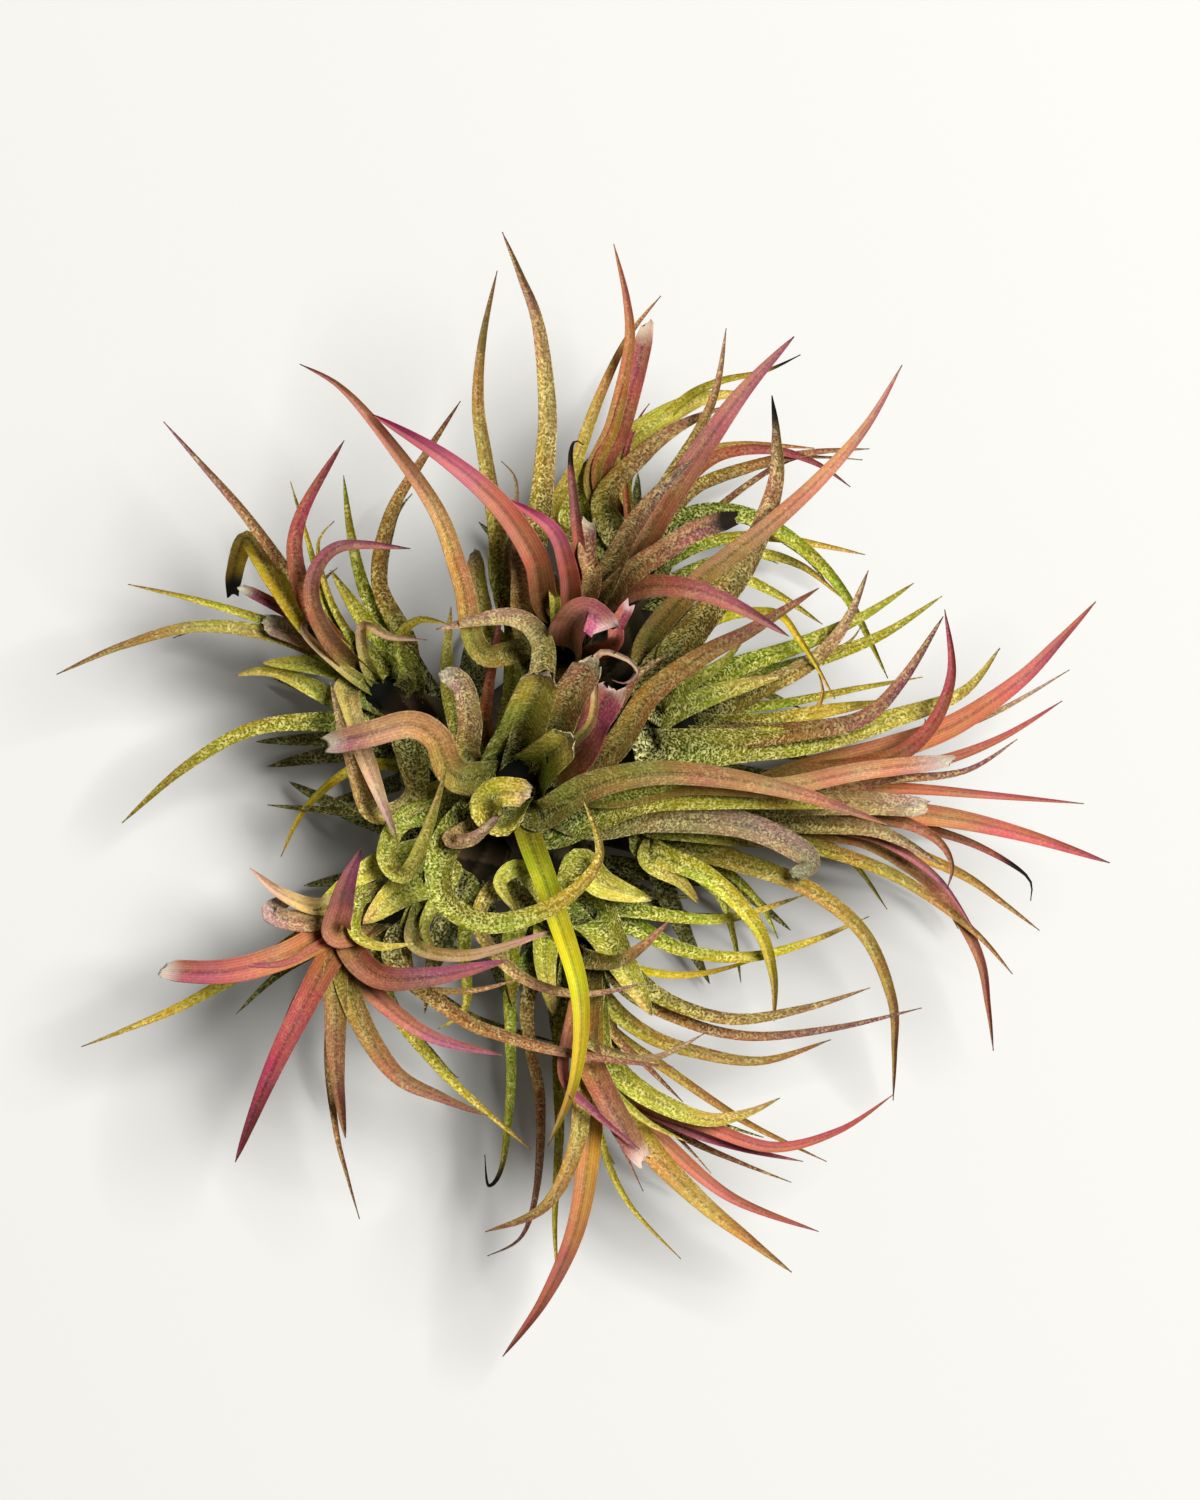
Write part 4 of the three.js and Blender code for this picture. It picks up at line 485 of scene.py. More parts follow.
# Finish of each kind of leaf: colours at sheath, middle, upper part and tip, its edge, the tone that its
# other half turns to (its own two-tone colour, and partly painted light and shade of that side of the fold),
# how thickly the silver scales lie, how dry it is, and where a dead end starts.
FINISHES = {
    "olive": (("#74860d", "#c2c80d", "#e4c744", "#d19a5e"), "#493f0c", "#e6ca27", 0.95, 0.2, 1),
    "green": (("#657c0d", "#afbd0d", "#cac034", "#c6aa51"), "#363a08", "#c7c90f", 1.0, 0.1, 1),
    "bright": (("#94ad0d", "#e9e60d", "#f6d032", "#daa251"), "#555608", "#ffdd0d", 0.6, 0.1, 1),
    "frost": (("#788916", "#d1d23e", "#ead261", "#e8b486"), "#9c8f62", "#ded34a", 1.0, 0.2, 1),
    # painted shade: leaves that lie in shadow among the others, tinted near black
    "dark": (("#2d380a", "#4e5510", "#635628", "#7a6143"), "#191d08", "#565613", 0.8, 0.2, 1),
    "gold": (("#76850a", "#b89e2e", "#ba8a55", "#ad6a5a"), "#65400f", "#c99c54", 0.55, 0.2, 1),
    "yellow": (("#8e9630", "#c4b84e", "#c8ab60", "#b07a69"), "#6c6c30", "#ccb262", 0.6, 0.1, 1),
    "lemon": (("#7c8c0e", "#f2e01a", "#e6c438", "#c08a6a"), "#9a8410", "#f0dc28", 0.2, 0.1, 1),
    "brown": (("#6e780f", "#b3882e", "#b0675d", "#8e5162"), "#452615", "#be865d", 0.75, 0.3, 1),
    "tan": (("#768518", "#c8a248", "#c58a77", "#ab7886"), "#5e3a2f", "#d0a67c", 0.85, 0.6, 1),
    "dry": (("#8b8431", "#d3a068", "#c28f8a", "#a8858e"), "#4e332c", "#b28d6f", 0.7, 1.0, 1),
    "cream": (("#97a42c", "#e8c174", "#dfafa4", "#ddb3b7"), "#7f5a43", "#e6c19c", 0.45, 0.7, 1),
    "ash": (("#748321", "#c0a260", "#bb8a85", "#c59baa"), "#553b34", "#c2a37c", 0.8, 0.6, 1),
    "peach": (("#7c8a0a", "#c49a50", "#dc9280", "#c87682"), "#73443a", "#dc9c72", 0.35, 0.2, 1),
    "orange": (("#757c0a", "#a87c36", "#b06a58", "#a65757"), "#6c3019", "#bd7c58", 0.3, 0.1, 1),
    "coral": (("#757b0e", "#c48450", "#b95e66", "#9d445c"), "#731f23", "#cb7f63", 0.18, 0.1, 1),
    "red": (("#6c700e", "#ad5d38", "#a24659", "#81354f"), "#5f1a28", "#b6604e", 0.26, 0.2, 1),
    "crimson": (("#6e6713", "#a64c40", "#9d3a50", "#782a42"), "#571022", "#b35c58", 0.15, 0.2, 1),
    "rust": (("#70700a", "#966e2c", "#9a5c4e", "#824752"), "#4c2613", "#a8754e", 0.36, 0.3, 1),
    "rose": (("#77760d", "#bb6e57", "#ae5f79", "#9b506f"), "#6f2532", "#ba7666", 0.22, 0.2, 1),
    "pink": (("#947626", "#d16f58", "#c66888", "#c73a81"), "#881c38", "#cd7e74", 0.12, 0.1, 1),
    "plum": (("#6e780f", "#b97a4d", "#a36471", "#8c557c"), "#492430", "#be8262", 0.7, 0.3, 1),
    "sunset": (("#79810a", "#c29436", "#b97460", "#aa586a"), "#86342c", "#c8745c", 0.18, 0.1, 1),
    # painted shade: the lower and skirt leaves are tinted dark for the shade under the heads
    "shade": (("#222a10", "#4a561e", "#6a6c36", "#746848"), "#1c230c", "#5c6028", 0.9, 0.3, 1),
    "plum_dead": (("#6e780f", "#be7d4d", "#9e5c64", "#5f383d"), "#3a1f21", "#be8262", 0.6, 0.5, 0.9),
    "rose_dead": (("#78701f", "#c36957", "#844355", "#562f3c"), "#321713", "#9a544d", 0.22, 0.6, 0.84),
    "olive_dead": (("#74860d", "#c7c80d", "#c4a628", "#8c6d2e"), "#3f3a0a", "#debe0d", 0.7, 0.5, 0.9),
    "tan_dead": (("#7f8d18", "#d5a54c", "#c57f68", "#8e554e"), "#5e362d", "#c79663", 0.85, 0.5, 0.92),
    "orange_dead": (("#757c0a", "#c07731", "#a35453", "#753d43"), "#652817", "#b97e57", 0.25, 0.4, 0.86),
    "green_dead": (("#657c0d", "#9fb10d", "#92801f", "#5f4d14"), "#2d3808", "#b0a40d", 0.7, 0.5, 0.84),
    "olive_broken": (("#818e0d", "#dece0d", "#8a7026", "#b69425"), "#36270d", "#f8d20d", 0.5, 0.6, 0.93),
}
FINISH_STOPS = (0, 0.42, 0.76, 1)
HALF_TURNED = 0.7  # how far one half of a leaf turns to its other tone: partly its own colour, partly painted light and shade of that side of the fold
HALF_ACROSS = (-0.05, 0.3)  # from where to where that sets in, across the leaf and along it
HALF_ALONG = (0.12, 0.45)
HALF_PAINTED_SHADE = 0.25  # painted shade: how much darker that half is then
FOLD_PAINTED_SHADE = 0.55  # painted shade: how much darker the fold is than the rest, where shade falls in the channel
FOLD_PAINTED_SHADE_WIDTH = 0.2
RIM = 0.45  # how much of its own colour an edge shows
RIM_FROM = 0.84
RIM_ALONG = (0.05, 0.3)
SHIFT = 0.12  # how far the colours of like leaves differ in place along them, in tone and in hue
TONE_SPREAD = 0.13
HUE_SPREAD = 0.04
DEAD = "#1c1712"
DEAD_FADE = (-0.05, 0.02)  # about the start of a dead end
SCORCHED = "#5e4240"  # the last few millimetres of most pointed leaves
SCORCHED_SHARE = 0.07
SCORCHED_DEPTH = (0.3, 0.95)  # least and most
PARCHED = "#cdbcae"  # the papery margin of a torn end
PARCHED_SHARE = 0.06
PARCHED_DEPTH = 0.85
SHEATH_PAINTED_SHADE = 0.08  # painted shade: how much of its colour a sheath keeps beside the stem, where it lies in the shade of the leaves
# where along the leaf that painted shade has faded out
SHEATH_PAINTED_SHADE_END = 0.3
SCALES_LOST = (1.3, 0.55)  # how thickly the scales lie on the sheath, and how much less by the tip
SCALES_ALONG = (0.1, 0.8)
SCALES_SPREAD = (0.85, 1)
HEAD_PAINTED_SHADE_AND_TONE = {"head_centre": 0.8, "head_top": 0.86, "head_left": 0.9, "head_east": 0.92}  # painted shade on the heads in the middle of the clump, and a darker tone of its own on the top head

# A blade is a thin strap folded along its middle, broader here than in the solids. These are the widths, in
# mm, of those that broaden more than the others. The blunt ones and the one in TORN have lost their tip.
FULLER = 1.12
BROADER = {
    "head_centre": {0: 6.2, 1: 5.0, 2: 5.6, 5: 5.6, 6: 4.4, 12: 3.4, 13: 3.8, 17: 3.6, 21: 3.0},
    "head_top": {12: 5.0},
    "head_back": {0: 4.6},
    "head_east": {10: 3.7},
    "head_bottom": {28: 4.8, 29: 5.2, 30: 3.2, 32: 3.6, 33: 3.4},
    "head_lower_left": {0: 4.0, 1: 3.5, 5: 3.3, 7: 3.4, 9: 3.1, 11: 2.7, 12: 3.5, 16: 2.6, 17: 3.0,
                        18: 4.0, 19: 5.4},
    "head_left": {1: 2.9, 3: 2.6, 6: 2.4, 17: 3.6, 18: 2.8, 25: 3.0},
}
TORN = ("head_centre", 9)
RINGS = 56
ACROSS = (-1, -0.93, -0.62, -0.32, -0.05, 0.05, 0.32, 0.62, 0.93, 1)  # over the upper face, edge to edge
UNDER = (0.84, 0.44, 0, -0.44, -0.84)  # and back under it
AROUND = np.array([*ACROSS, *UNDER])
FOLD_BOW = 1.08  # 1 is a sharp fold, 2 a round channel
FOLD_WIDEST = 1.3  # a blade broader than this many times its solid folds no deeper
THICK = 0.42  # mm of tissue along the fold, but no more than the next share of the width
THICK_SHARE = 0.25
THICK_BOW = 1.5
THICK_SUNK = 0.8  # share of it that fills the fold
THIN = 0.1  # mm of tissue at an edge
EDGE_LIFT = (0.12, 0.15)  # share of its width that an edge rises, on the blade and on the sheath
SHEATH_PLACE = (0.15, 0.17)  # where along the leaf it is broadest, and how far it reaches
SHEATH_FULL = 0.5  # how much broader it is where it is thickly scaled
SHEATH_FADE = (0.1, 0.45)  # where along the leaf its form turns into the blade's
STRIATION = 0.04  # height of the ridges along a blade, mm
STRIATIONS = 5
NARROW = 1.2  # mm of width below which the fold dies out
WIDE = 2  # mm of width from which ridges and ripples are whole
TIP_WIDTH = 0.14  # mm
TIP_DRYNESS = 0.6  # how much drier a leaf is at its tip than elsewhere
TIP_FROM = 0.75
RIPPLE = 0.07  # waves along a fresh leaf's edges, mm
RIPPLE_DRY = 3  # how many times that is added when it is dry
RIPPLE_WAVES = ((23, 57), (19, 61))  # radians in a leaf, broad and fine, on its left and right
RIPPLE_FINE = 0.6
TEAR_FROM = 0.9  # where along the leaf a torn end begins to fray
TEAR_FLAT = (0.8, 0.7, 0.6)  # where it begins to flatten, and the thickness and fold that it loses
TEAR_NARROW = 0.3
RAGGED = 0.34  # share of its width by which it is uneven
RAGGED_WAVES = ((3, 0.6), (9, 0.35))  # radians in half its width, and height
FIRST_SEED = 1000


def linear(hex_colour):
    """An sRGB hex colour as linear red, green and blue."""
    c = np.array([int(hex_colour[i : i + 2], 16) for i in (1, 3, 5)]) / 255
    return np.where(c <= 0.04045, c / 12.92, ((c + 0.055) / 1.055) ** 2.4)


def toward(tint, hex_colour, share):
    """The tint turned that far toward another colour."""
    return tint * (1 - share) + linear(hex_colour) * share


def smooth(low, high, x):
    """Rises from 0 at low to 1 at high without a corner."""
    t = np.clip((x - low) / (high - low), 0, 1)
    return t * t * (3 - 2 * t)


def centre_line(leaf):
    """The leaf's smooth line through its stations, the share of its plan length, and its axes."""
    stations = np.column_stack([leaf["points"], leaf["z"]])
    gaps = np.linalg.norm(np.diff(stations, axis=0), axis=1)
    run = np.concatenate([[0], np.cumsum(gaps)])
    wanted = run[-1] * np.linspace(0, 1, RINGS)
    i = np.clip(np.searchsorted(run, wanted, side="right") - 1, 0, len(gaps) - 1)
    t = ((wanted - run[i]) / gaps[i])[:, None]
    corner = [stations[np.clip(i + k, 0, len(stations) - 1)] for k in (-1, 0, 1, 2)]
    line = catmull(*corner, t)
    line[:, 2] = np.maximum(line[:, 2], LEAST_CLEARANCE)
    s = leaf["at"][i] + (leaf["at"][i + 1] - leaf["at"][i]) * t[:, 0]
    outward = stations[-1] - stations[0]
    outward[2] = 0
    under = outward / np.linalg.norm(outward) * LEAN + np.array([0, 0, -1])
    along = np.gradient(line, axis=0)
    along /= np.linalg.norm(along, axis=1)[:, None]
    side = np.cross(along, under)
    side /= np.linalg.norm(side, axis=1)[:, None]
    return line, s, along, side, np.cross(side, along)


def blade_width(leaf, s, silver):
    """Width of the blade: fullest in a thickly scaled sheath, then tapered to its tip or torn off."""
    if leaf["torn"]:
        taper = (1 - BLUNT_LOSS * s**2) * (1 - TEAR_NARROW * smooth(TEAR_FROM, 1, s))
    else:
        taper = (1 - np.minimum(s, 1) ** TAPER_POWER) ** TAPER_ROUND
    place, reach = SHEATH_PLACE
    sheath = 1 + SHEATH_FULL * silver * np.exp(-(((s - place) / reach) ** 2))
    return np.maximum(TIP_WIDTH, leaf["breadth"] * taper * sheath)


def blade_points(leaf, path, w, dryness, rng):
    """The blade's points, ring by ring: a folded strap, ridged above, with rippled edges or a torn end."""
    line, s, along, side, keel = path
    s, w, dryness, v = s[:, None], w[:, None], dryness[:, None], AROUND[None, :]
    out = np.abs(v)
    flat_from, thinned, flattened = TEAR_FLAT
    flat = smooth(flat_from, 1, s) * leaf["torn"]
    thick = np.minimum(THICK, THICK_SHARE * w) * (1 - thinned * flat)
    deep = depth_of(np.minimum(w, leaf["width"] * FOLD_WIDEST))
    fold = np.maximum(0, deep - THICK_SUNK * thick) * (1 - flattened * flat) * np.minimum(1, w / NARROW)
    rise = EDGE_LIFT[0] + (EDGE_LIFT[1] - EDGE_LIFT[0]) * (1 - smooth(*SHEATH_FADE, s))
    whole = np.minimum(1, w / WIDE)

    phase = rng.uniform(0, 2 * math.pi, 4)
    left, right = [np.sin(s * broad + phase[0]) + RIPPLE_FINE * np.sin(s * fine + phase[1])
                   for broad, fine in RIPPLE_WAVES]
    ripple = RIPPLE * (1 + RIPPLE_DRY * dryness) * whole * np.where(v > 0, right, left)
    tear = rng.uniform(-1, 1, 4)[0] * v
    for (waves, share), start in zip(RAGGED_WAVES, phase[2:]):
        tear = tear + share * np.sin(waves * v + start)
    tear = RAGGED * w * tear * smooth(TEAR_FROM, 1, s) * leaf["torn"]

    fall = fold * (1 - out**FOLD_BOW) - rise * w * out**2
    above = np.arange(len(AROUND)) < len(ACROSS)
    ridges = STRIATION * whole * np.sin(STRIATIONS * math.pi * out)
    fall = fall + np.where(above, -ridges, THIN + (thick - THIN) * (1 - out**THICK_BOW)) - ripple * out**3
    shifts = [(side, v * w / 2), (keel, fall), (along, tear)]
    return (line[:, None] + sum(axis[:, None] * shift[..., None] for axis, shift in shifts)).reshape(-1, 3)


def blade_colour(leaf, s, rng):
    """Tint of every point of the blade, and how thickly the scales lie on each ring."""
    stops, edge, half, silver, _, dead_from = FINISHES[leaf["finish"]]
    t, v = s[:, None, None], AROUND[None, :, None]
    colours = np.array([linear(stop) for stop in stops])
    shifted = s * (1 + SHIFT * rng.uniform(-1, 1))
    tint = np.stack([np.interp(shifted, FINISH_STOPS, c) for c in colours.T], axis=1)[:, None, :]
    # one half turned to its other tone and darkened: its own two-tone colour, and partly painted light and
    # shade of the fold's sides
    turned = smooth(*HALF_ACROSS, rng.choice([-1, 1]) * v) * smooth(*HALF_ALONG, t) * HALF_TURNED
    tint = tint * (1 - turned) + linear(half) * (1 - HALF_PAINTED_SHADE * turned) * turned
    # painted shade along the fold of the channel
    tint = tint * (1 - FOLD_PAINTED_SHADE * np.exp(-((v / FOLD_PAINTED_SHADE_WIDTH) ** 2)))
    tint = toward(tint, edge, smooth(RIM_FROM, 1, np.abs(v)) * smooth(*RIM_ALONG, t) * RIM)
    dead = smooth(dead_from + DEAD_FADE[0], dead_from + DEAD_FADE[1], t) * (dead_from < 1)
    if dead_from < 1:
        tint = toward(tint, DEAD, dead)
    elif leaf["torn"]:
        dried = smooth(1 - 2 * PARCHED_SHARE, 1 - 0.3 * PARCHED_SHARE, t)
        tint = toward(tint, PARCHED, dried * PARCHED_DEPTH)
    else:
        scorched = smooth(1 - SCORCHED_SHARE, 1, t)
        tint = toward(tint, SCORCHED, scorched * rng.uniform(*SCORCHED_DEPTH))
    # painted shade: the sheath is darkened beside the stem, and so is all of a head deep in the clump
    tint *= HEAD_PAINTED_SHADE_AND_TONE.get(leaf["name"], 1) * (SHEATH_PAINTED_SHADE + (1 - SHEATH_PAINTED_SHADE) * smooth(0, SHEATH_PAINTED_SHADE_END, t))
    tint *= 1 + TONE_SPREAD * rng.uniform(-1, 1) + HUE_SPREAD * rng.uniform(-1, 1, 3)
    scales = silver * rng.uniform(*SCALES_SPREAD) * (1 - dead[:, 0, 0])
    scales *= SCALES_LOST[0] - SCALES_LOST[1] * smooth(*SCALES_ALONG, s)
    return tint.reshape(-1, 3), np.clip(scales, 0, 1)


def ring_faces(rings, around):
    """The quads of a closed tube of rings, and its two end caps."""
    r = np.arange(rings - 1)[:, None] * around
    c = np.arange(around)[None, :]
    d = (c + 1) % around
    quads = np.stack([r + c, r + d, r + around + d, r + around + c], axis=-1).reshape(-1, 4)
    last = (rings - 1) * around
    return quads, [tuple(range(around - 1, -1, -1)), tuple(range(last, last + around))]


def blade_mesh(leaf, index):
    """One blade's points, faces and point values: tint, silver, dryness and the way across it."""
    silver, dry = FINISHES[leaf["finish"]][3:5]
    rng = np.random.default_rng(FIRST_SEED + index)
    path = centre_line(leaf)
    s = path[1]
    dryness = np.clip(dry + TIP_DRYNESS * smooth(TIP_FROM, 1, s), 0, 1)
    points = blade_points(leaf, path, blade_width(leaf, s, silver), dryness, rng)
    tint, scales = blade_colour(leaf, s, rng)
    around = len(AROUND)
    values = dict(tint=tint, silver=np.repeat(scales, around), dryness=np.repeat(dryness, around),
                  across=np.tile(AROUND, RINGS))
    return points * MM, *ring_faces(RINGS, around), values


STEM_SUNK = 7  # how far the stem reaches into the rootstock, mm
STEM_RINGS = 64
STEM_POINTS = 56
STEM_END = 0.3  # its radius at the very top
OLD_ROW = 4.2  # mm from one row of dry old leaf bases to the next
OLD_BASES = 5  # in a row
OLD_LIFT = 0.7  # mm that their free ends stand off
OLD_TONES = ("#14110a", "#5e5038")  # painted shade where one lies under the next, and the dry brown of its free end
CROWN_TONE = "#0b0c05"  # the deep shade among the youngest leaves
CROWN_SHADE = (-6, -1)  # where it begins and is whole, mm from the crown


def stem_mesh(head):
    """The short stem under the leaves, closed at both ends, wrapped in rows of dry old leaf bases."""
    base, crown = np.array(head["base"], float), np.array(head["crown"], float)
    height = np.linalg.norm(crown - base)
    axis = (crown - base) / height
    side = np.cross([1, 0, 0], axis)
    side /= np.linalg.norm(side)
    other = np.cross(axis, side)
    turn = np.linspace(0, 2 * math.pi, STEM_POINTS, endpoint=False)
    way = np.linspace(-STEM_SUNK, height + 1, STEM_RINGS)
    foot, top = head["stem"]
    radius = np.interp(way, [-STEM_SUNK, 0, height, height + 1], [0.5 * foot, foot, 0.8 * top, STEM_END])
    round_it = OLD_BASES * turn[None, :] / (2 * math.pi)
    up = way[:, None] / (2 * OLD_ROW)
    free = ((round_it + up) % 1 + (up - round_it) % 1) / 2
    lift = (free - 0.5) * OLD_LIFT * (smooth(0, 2, way) * (1 - smooth(height - 2, height, way)))[:, None]
    circle = np.cos(turn)[:, None] * side + np.sin(turn)[:, None] * other
    points = (base + way[:, None] * axis)[:, None, :] + (radius[:, None] + lift)[..., None] * circle
    points = points.reshape(-1, 3)
    tint = toward(linear(OLD_TONES[0]), OLD_TONES[1], (free**2)[..., None])
    deep = smooth(height + CROWN_SHADE[0], height + CROWN_SHADE[1], way)[:, None, None]
    tint = toward(tint, CROWN_TONE, deep).reshape(-1, 3)
    n = len(points)
    values = dict(tint=tint, silver=np.zeros(n), dryness=np.ones(n), across=np.zeros(n))
    return points * MM, *ring_faces(STEM_RINGS, STEM_POINTS), values


def node(tree, kind, settings=None, **inputs):
    """Adds a shader node with its settings, and sets or links its inputs; i0 is input number 0."""
    new = tree.nodes.new("ShaderNode" + kind)
    for name, value in (settings or {}).items():
        setattr(new, name, value)
    for name, value in inputs.items():
        key = int(name[1:]) if name[0] == "i" and name[1:].isdigit() else name.replace("_", " ")
        if isinstance(value, bpy.types.NodeSocket):
            tree.links.new(value, new.inputs[key])
        else:
            new.inputs[key].default_value = value
    return new


# Living bromeliad leaf: waxy skin with faint veins along it, under silver scales that drink water. The eye
# sees a soft sheen on flushed ends, and a pale frost of irregular grains on dark olive where the scales lie
# thick. Real scales are 0.2 mm apart. They are drawn at 0.32 mm, since finer ones would melt into one tone.
SCALE_NOISES = (  # size in mm, detail, values where bare and where full, and cover where bare
    (0.32, 1.0, 0.43, 0.57, 0.0),
    (0.75, 2.0, 0.38, 0.6, 0.35),
    (2.6, 3.0, 0.36, 0.6, 0.5),
)
BLOTCH_MM = 7.0
BLOTCH_SHARE = 0.6
VEINS = 9
VEIN_SHARE = 0.3
VEIN_TONE = "#9a7a5a"  # multiplies the skin, as does the next between thick scales
BETWEEN_TONE = "#a2aa65"
SCALE_TONE = "#f2ec9c"
SCALE_SHARE = 0.6
SCALE_RAISED = 0.16  # mm
ROUGH = (0.46, 0.85)  # of a fresh and of a dry leaf
leaf_skin = bpy.data.materials.new("scaled bromeliad leaf")
leaf_skin.use_nodes = True
tree = leaf_skin.node_tree
shader = tree.nodes["Principled BSDF"]
TIMES = {"operation": "MULTIPLY"}
MULTIPLIED = {"data_type": "RGBA", "blend_type": "MULTIPLY"}
place = node(tree, "TexCoord").outputs["Object"]
tint, silver, dryness, across = [
    node(tree, "Attribute", {"attribute_name": key}).outputs["Color" if key == "tint" else "Fac"]
    for key in ("tint", "silver", "dryness", "across")]
scales = silver
for size, detail, bare, full, least in SCALE_NOISES:
    noise = node(tree, "TexNoise", Vector=place, Scale=1 / (size * MM), Detail=detail)
    cover = node(tree, "MapRange", Value=noise.outputs["Fac"],
                 From_Min=bare, From_Max=full, To_Min=least, To_Max=1.0)
    scales = node(tree, "Math", TIMES, i0=scales, i1=cover.outputs[0]).outputs[0]
blotches = node(tree, "TexNoise", Vector=place, Scale=1 / (BLOTCH_MM * MM), Detail=2.0)
mottled = node(tree, "Mix", {"data_type": "RGBA", "blend_type": "SOFT_LIGHT"}, i0=BLOTCH_SHARE,
               i6=tint, i7=blotches.outputs["Color"]).outputs[2]
waves = node(tree, "Math", TIMES, i0=across, i1=math.pi * VEINS).outputs[0]
waves = node(tree, "Math", {"operation": "SINE"}, i0=waves).outputs[0]
vein = node(tree, "MapRange", Value=waves,
            From_Min=-1.0, From_Max=1.0, To_Min=0.0, To_Max=VEIN_SHARE).outputs[0]
veined = node(tree, "Mix", MULTIPLIED, i0=vein, i6=mottled, i7=(*linear(VEIN_TONE), 1)).outputs[2]
ground = node(tree, "Mix", MULTIPLIED, i0=silver,
              i6=veined, i7=(*linear(BETWEEN_TONE), 1)).outputs[2]
pale = node(tree, "Mix", {"data_type": "RGBA"}, i0=SCALE_SHARE,
            i6=veined, i7=(*linear(SCALE_TONE), 1)).outputs[2]
skin = node(tree, "Mix", {"data_type": "RGBA"}, i0=scales, i6=ground, i7=pale).outputs[2]
tree.links.new(skin, shader.inputs["Base Color"])
rough = node(tree, "MapRange", Value=dryness,
             From_Min=0.0, From_Max=1.0, To_Min=ROUGH[0], To_Max=ROUGH[1]).outputs[0]
tree.links.new(rough, shader.inputs["Roughness"])
raised = node(tree, "Bump", Strength=0.5, Distance=SCALE_RAISED * MM, Height=scales).outputs[0]
tree.links.new(raised, shader.inputs["Normal"])
shader.inputs["IOR"].default_value = 1.45
shader.inputs["Specular IOR Level"].default_value = 0.14

scene = bpy.context.scene


def join_pieces(name, pieces, material):
    """One mesh object from several closed pieces, with their point values."""
    offset, points, faces = 0, [], []
    values = {key: [] for key in pieces[0][3]}
    for own_points, quads, caps, own_values in pieces:
        points.append(own_points)
        faces += (quads + offset).tolist()
        faces += [tuple(k + offset for k in cap) for cap in caps]
        for key in values:
            values[key].append(own_values[key])
        offset += len(own_points)
    mesh = bpy.data.meshes.new(name)
    mesh.from_pydata(np.concatenate(points).tolist(), [], faces)
    for key, parts in values.items():
        data = np.concatenate(parts)
        if data.ndim == 2:
            colour = np.column_stack([data, np.ones(len(data))])
            mesh.attributes.new(key, "FLOAT_COLOR", "POINT").data.foreach_set("color", colour.ravel())
        else:
            mesh.attributes.new(key, "FLOAT", "POINT").data.foreach_set("value", data)
    mesh.polygons.foreach_set("use_smooth", [True] * len(mesh.polygons))
    mesh.materials.append(material)
    outward = bmesh.new()
    outward.from_mesh(mesh)
    bmesh.ops.recalc_face_normals(outward, faces=outward.faces)
    outward.to_mesh(mesh)
    outward.free()
    piece = bpy.data.objects.new(name, mesh)
    scene.collection.objects.link(piece)
    return piece


for name, head in HEADS.items():
    pieces = [stem_mesh(head)]
    own = [i for i, leaf in enumerate(leaves) if leaf["name"] == name]
    for k, i in enumerate(own):
        leaf = leaves[i]
        leaf["breadth"] = BROADER.get(name, {}).get(k, leaf["width"] * FULLER)
        leaf["torn"] = leaf["end"] == "b" or (name, k) == TORN
        pieces.append(blade_mesh(leaf, i))
    rosette = join_pieces(name.replace("head_", "rosette_"), pieces, leaf_skin)
    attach(rosette, "root")
    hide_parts(name)

# ---- Rootstock ----
# The short woody stock that every head grows from, flat where the clump rests on it. Its dry bark gives the
# eye a dull brown surface, rough with pale ridges and dark cracks.
BARK_RIDGE_MM = 1.6
BARK_DEPTH = 0.5  # mm
BARK_TONES = ("#1a130b", "#5c4832")  # in its cracks and on its ridges
bark = bpy.data.materials.new("dry woody bark")
bark.use_nodes = True
tree = bark.node_tree
shader = tree.nodes["Principled BSDF"]
place = node(tree, "TexCoord").outputs["Object"]
ridges = node(tree, "TexNoise", Vector=place, Scale=1 / (BARK_RIDGE_MM * MM),
              Detail=5.0, Roughness=0.65).outputs["Fac"]
crack, ridge = [(*linear(tone), 1) for tone in BARK_TONES]
tone = node(tree, "Mix", {"data_type": "RGBA"}, i0=ridges, i6=crack, i7=ridge).outputs[2]
tree.links.new(tone, shader.inputs["Base Color"])
rough_bark = node(tree, "Bump", Strength=0.8, Distance=BARK_DEPTH * MM, Height=ridges).outputs[0]
tree.links.new(rough_bark, shader.inputs["Normal"])
shader.inputs["Roughness"].default_value = 0.9
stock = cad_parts["rootstock"]
stock.data.materials.clear()
stock.data.materials.append(bark)

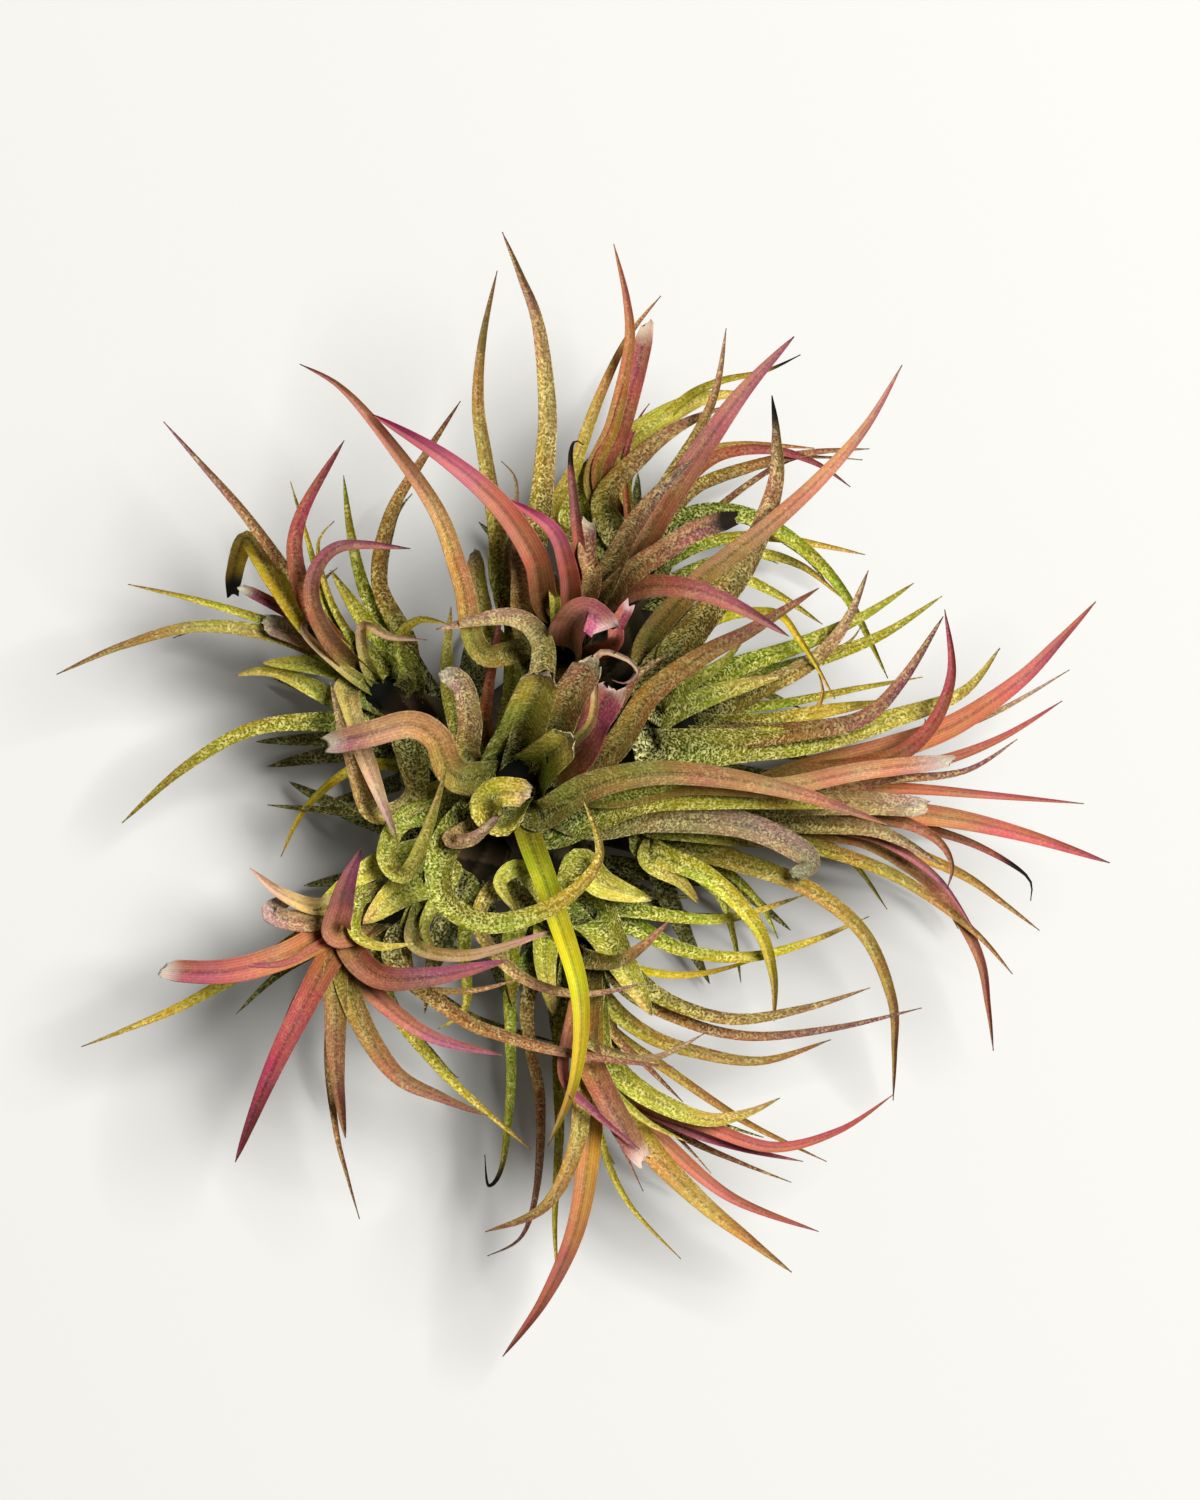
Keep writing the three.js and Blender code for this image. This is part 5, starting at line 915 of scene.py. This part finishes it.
# ---- Floor ----
# The plain pale surface that the plant lies on, with nothing on it. Matt white paint: it gives the eye an
# even tone with no sheen, on which the shadows stay soft.
FLOOR_HALF = 3.0  # metres
FLOOR_TONE = "#bfbebb"
floor_mesh = bpy.data.meshes.new("floor")
corners = [(-1, -1), (1, -1), (1, 1), (-1, 1)]
floor_mesh.from_pydata([(FLOOR_HALF * x, FLOOR_HALF * y, 0) for x, y in corners], [], [(0, 1, 2, 3)])
floor = bpy.data.objects.new("floor", floor_mesh)
scene.collection.objects.link(floor)
paint = bpy.data.materials.new("matt white paint")
paint.use_nodes = True
shader = paint.node_tree.nodes["Principled BSDF"]
shader.inputs["Base Color"].default_value = (*linear(FLOOR_TONE), 1)
shader.inputs["Roughness"].default_value = 0.9
floor_mesh.materials.append(paint)

# ---- Light ----
# One broad soft light from the upper right, over a dim even sky. Its places and sizes are in metres.
SKY_TONE = "#fffdf6"
SKY_STRENGTH = 0.15
LAMP_PLACE = (0.62, 0.3, 1.8)
LAMP_SIZE = 0.7
LAMP_WATTS = 66.5
world = bpy.data.worlds.new("studio")
scene.world = world
world.use_nodes = True
sky = world.node_tree.nodes["Background"]
sky.inputs["Color"].default_value = (*linear(SKY_TONE), 1)
sky.inputs["Strength"].default_value = SKY_STRENGTH
lamp = bpy.data.lights.new("soft lamp", "AREA")
lamp.shape = "DISK"
lamp.size = LAMP_SIZE
lamp.energy = LAMP_WATTS
lamp_holder = bpy.data.objects.new("soft lamp", lamp)
lamp_holder.location = LAMP_PLACE
lamp_holder.rotation_euler = (-Vector(LAMP_PLACE)).to_track_quat("-Z", "Y").to_euler()
scene.collection.objects.link(lamp_holder)

# ---- Camera ----
# Straight above the clump, far enough away that the tall leaves hardly spread.
FRAME_CENTRE = (7.5 * MM, 6.25 * MM)
FRAME_HEIGHT = 187.5 * MM
CAMERA_HEIGHT = 1.25  # metres
READ_HEIGHT = 30 * MM  # the height at which the picture spans FRAME_HEIGHT
SENSOR = 36
camera = bpy.data.objects.new("camera", bpy.data.cameras.new("camera"))
camera.location = (*FRAME_CENTRE, CAMERA_HEIGHT)
camera.data.sensor_fit = "VERTICAL"
camera.data.sensor_height = SENSOR
camera.data.lens = SENSOR * (CAMERA_HEIGHT - READ_HEIGHT) / FRAME_HEIGHT
scene.collection.objects.link(camera)
scene.camera = camera
scene.view_settings.view_transform = "Standard"
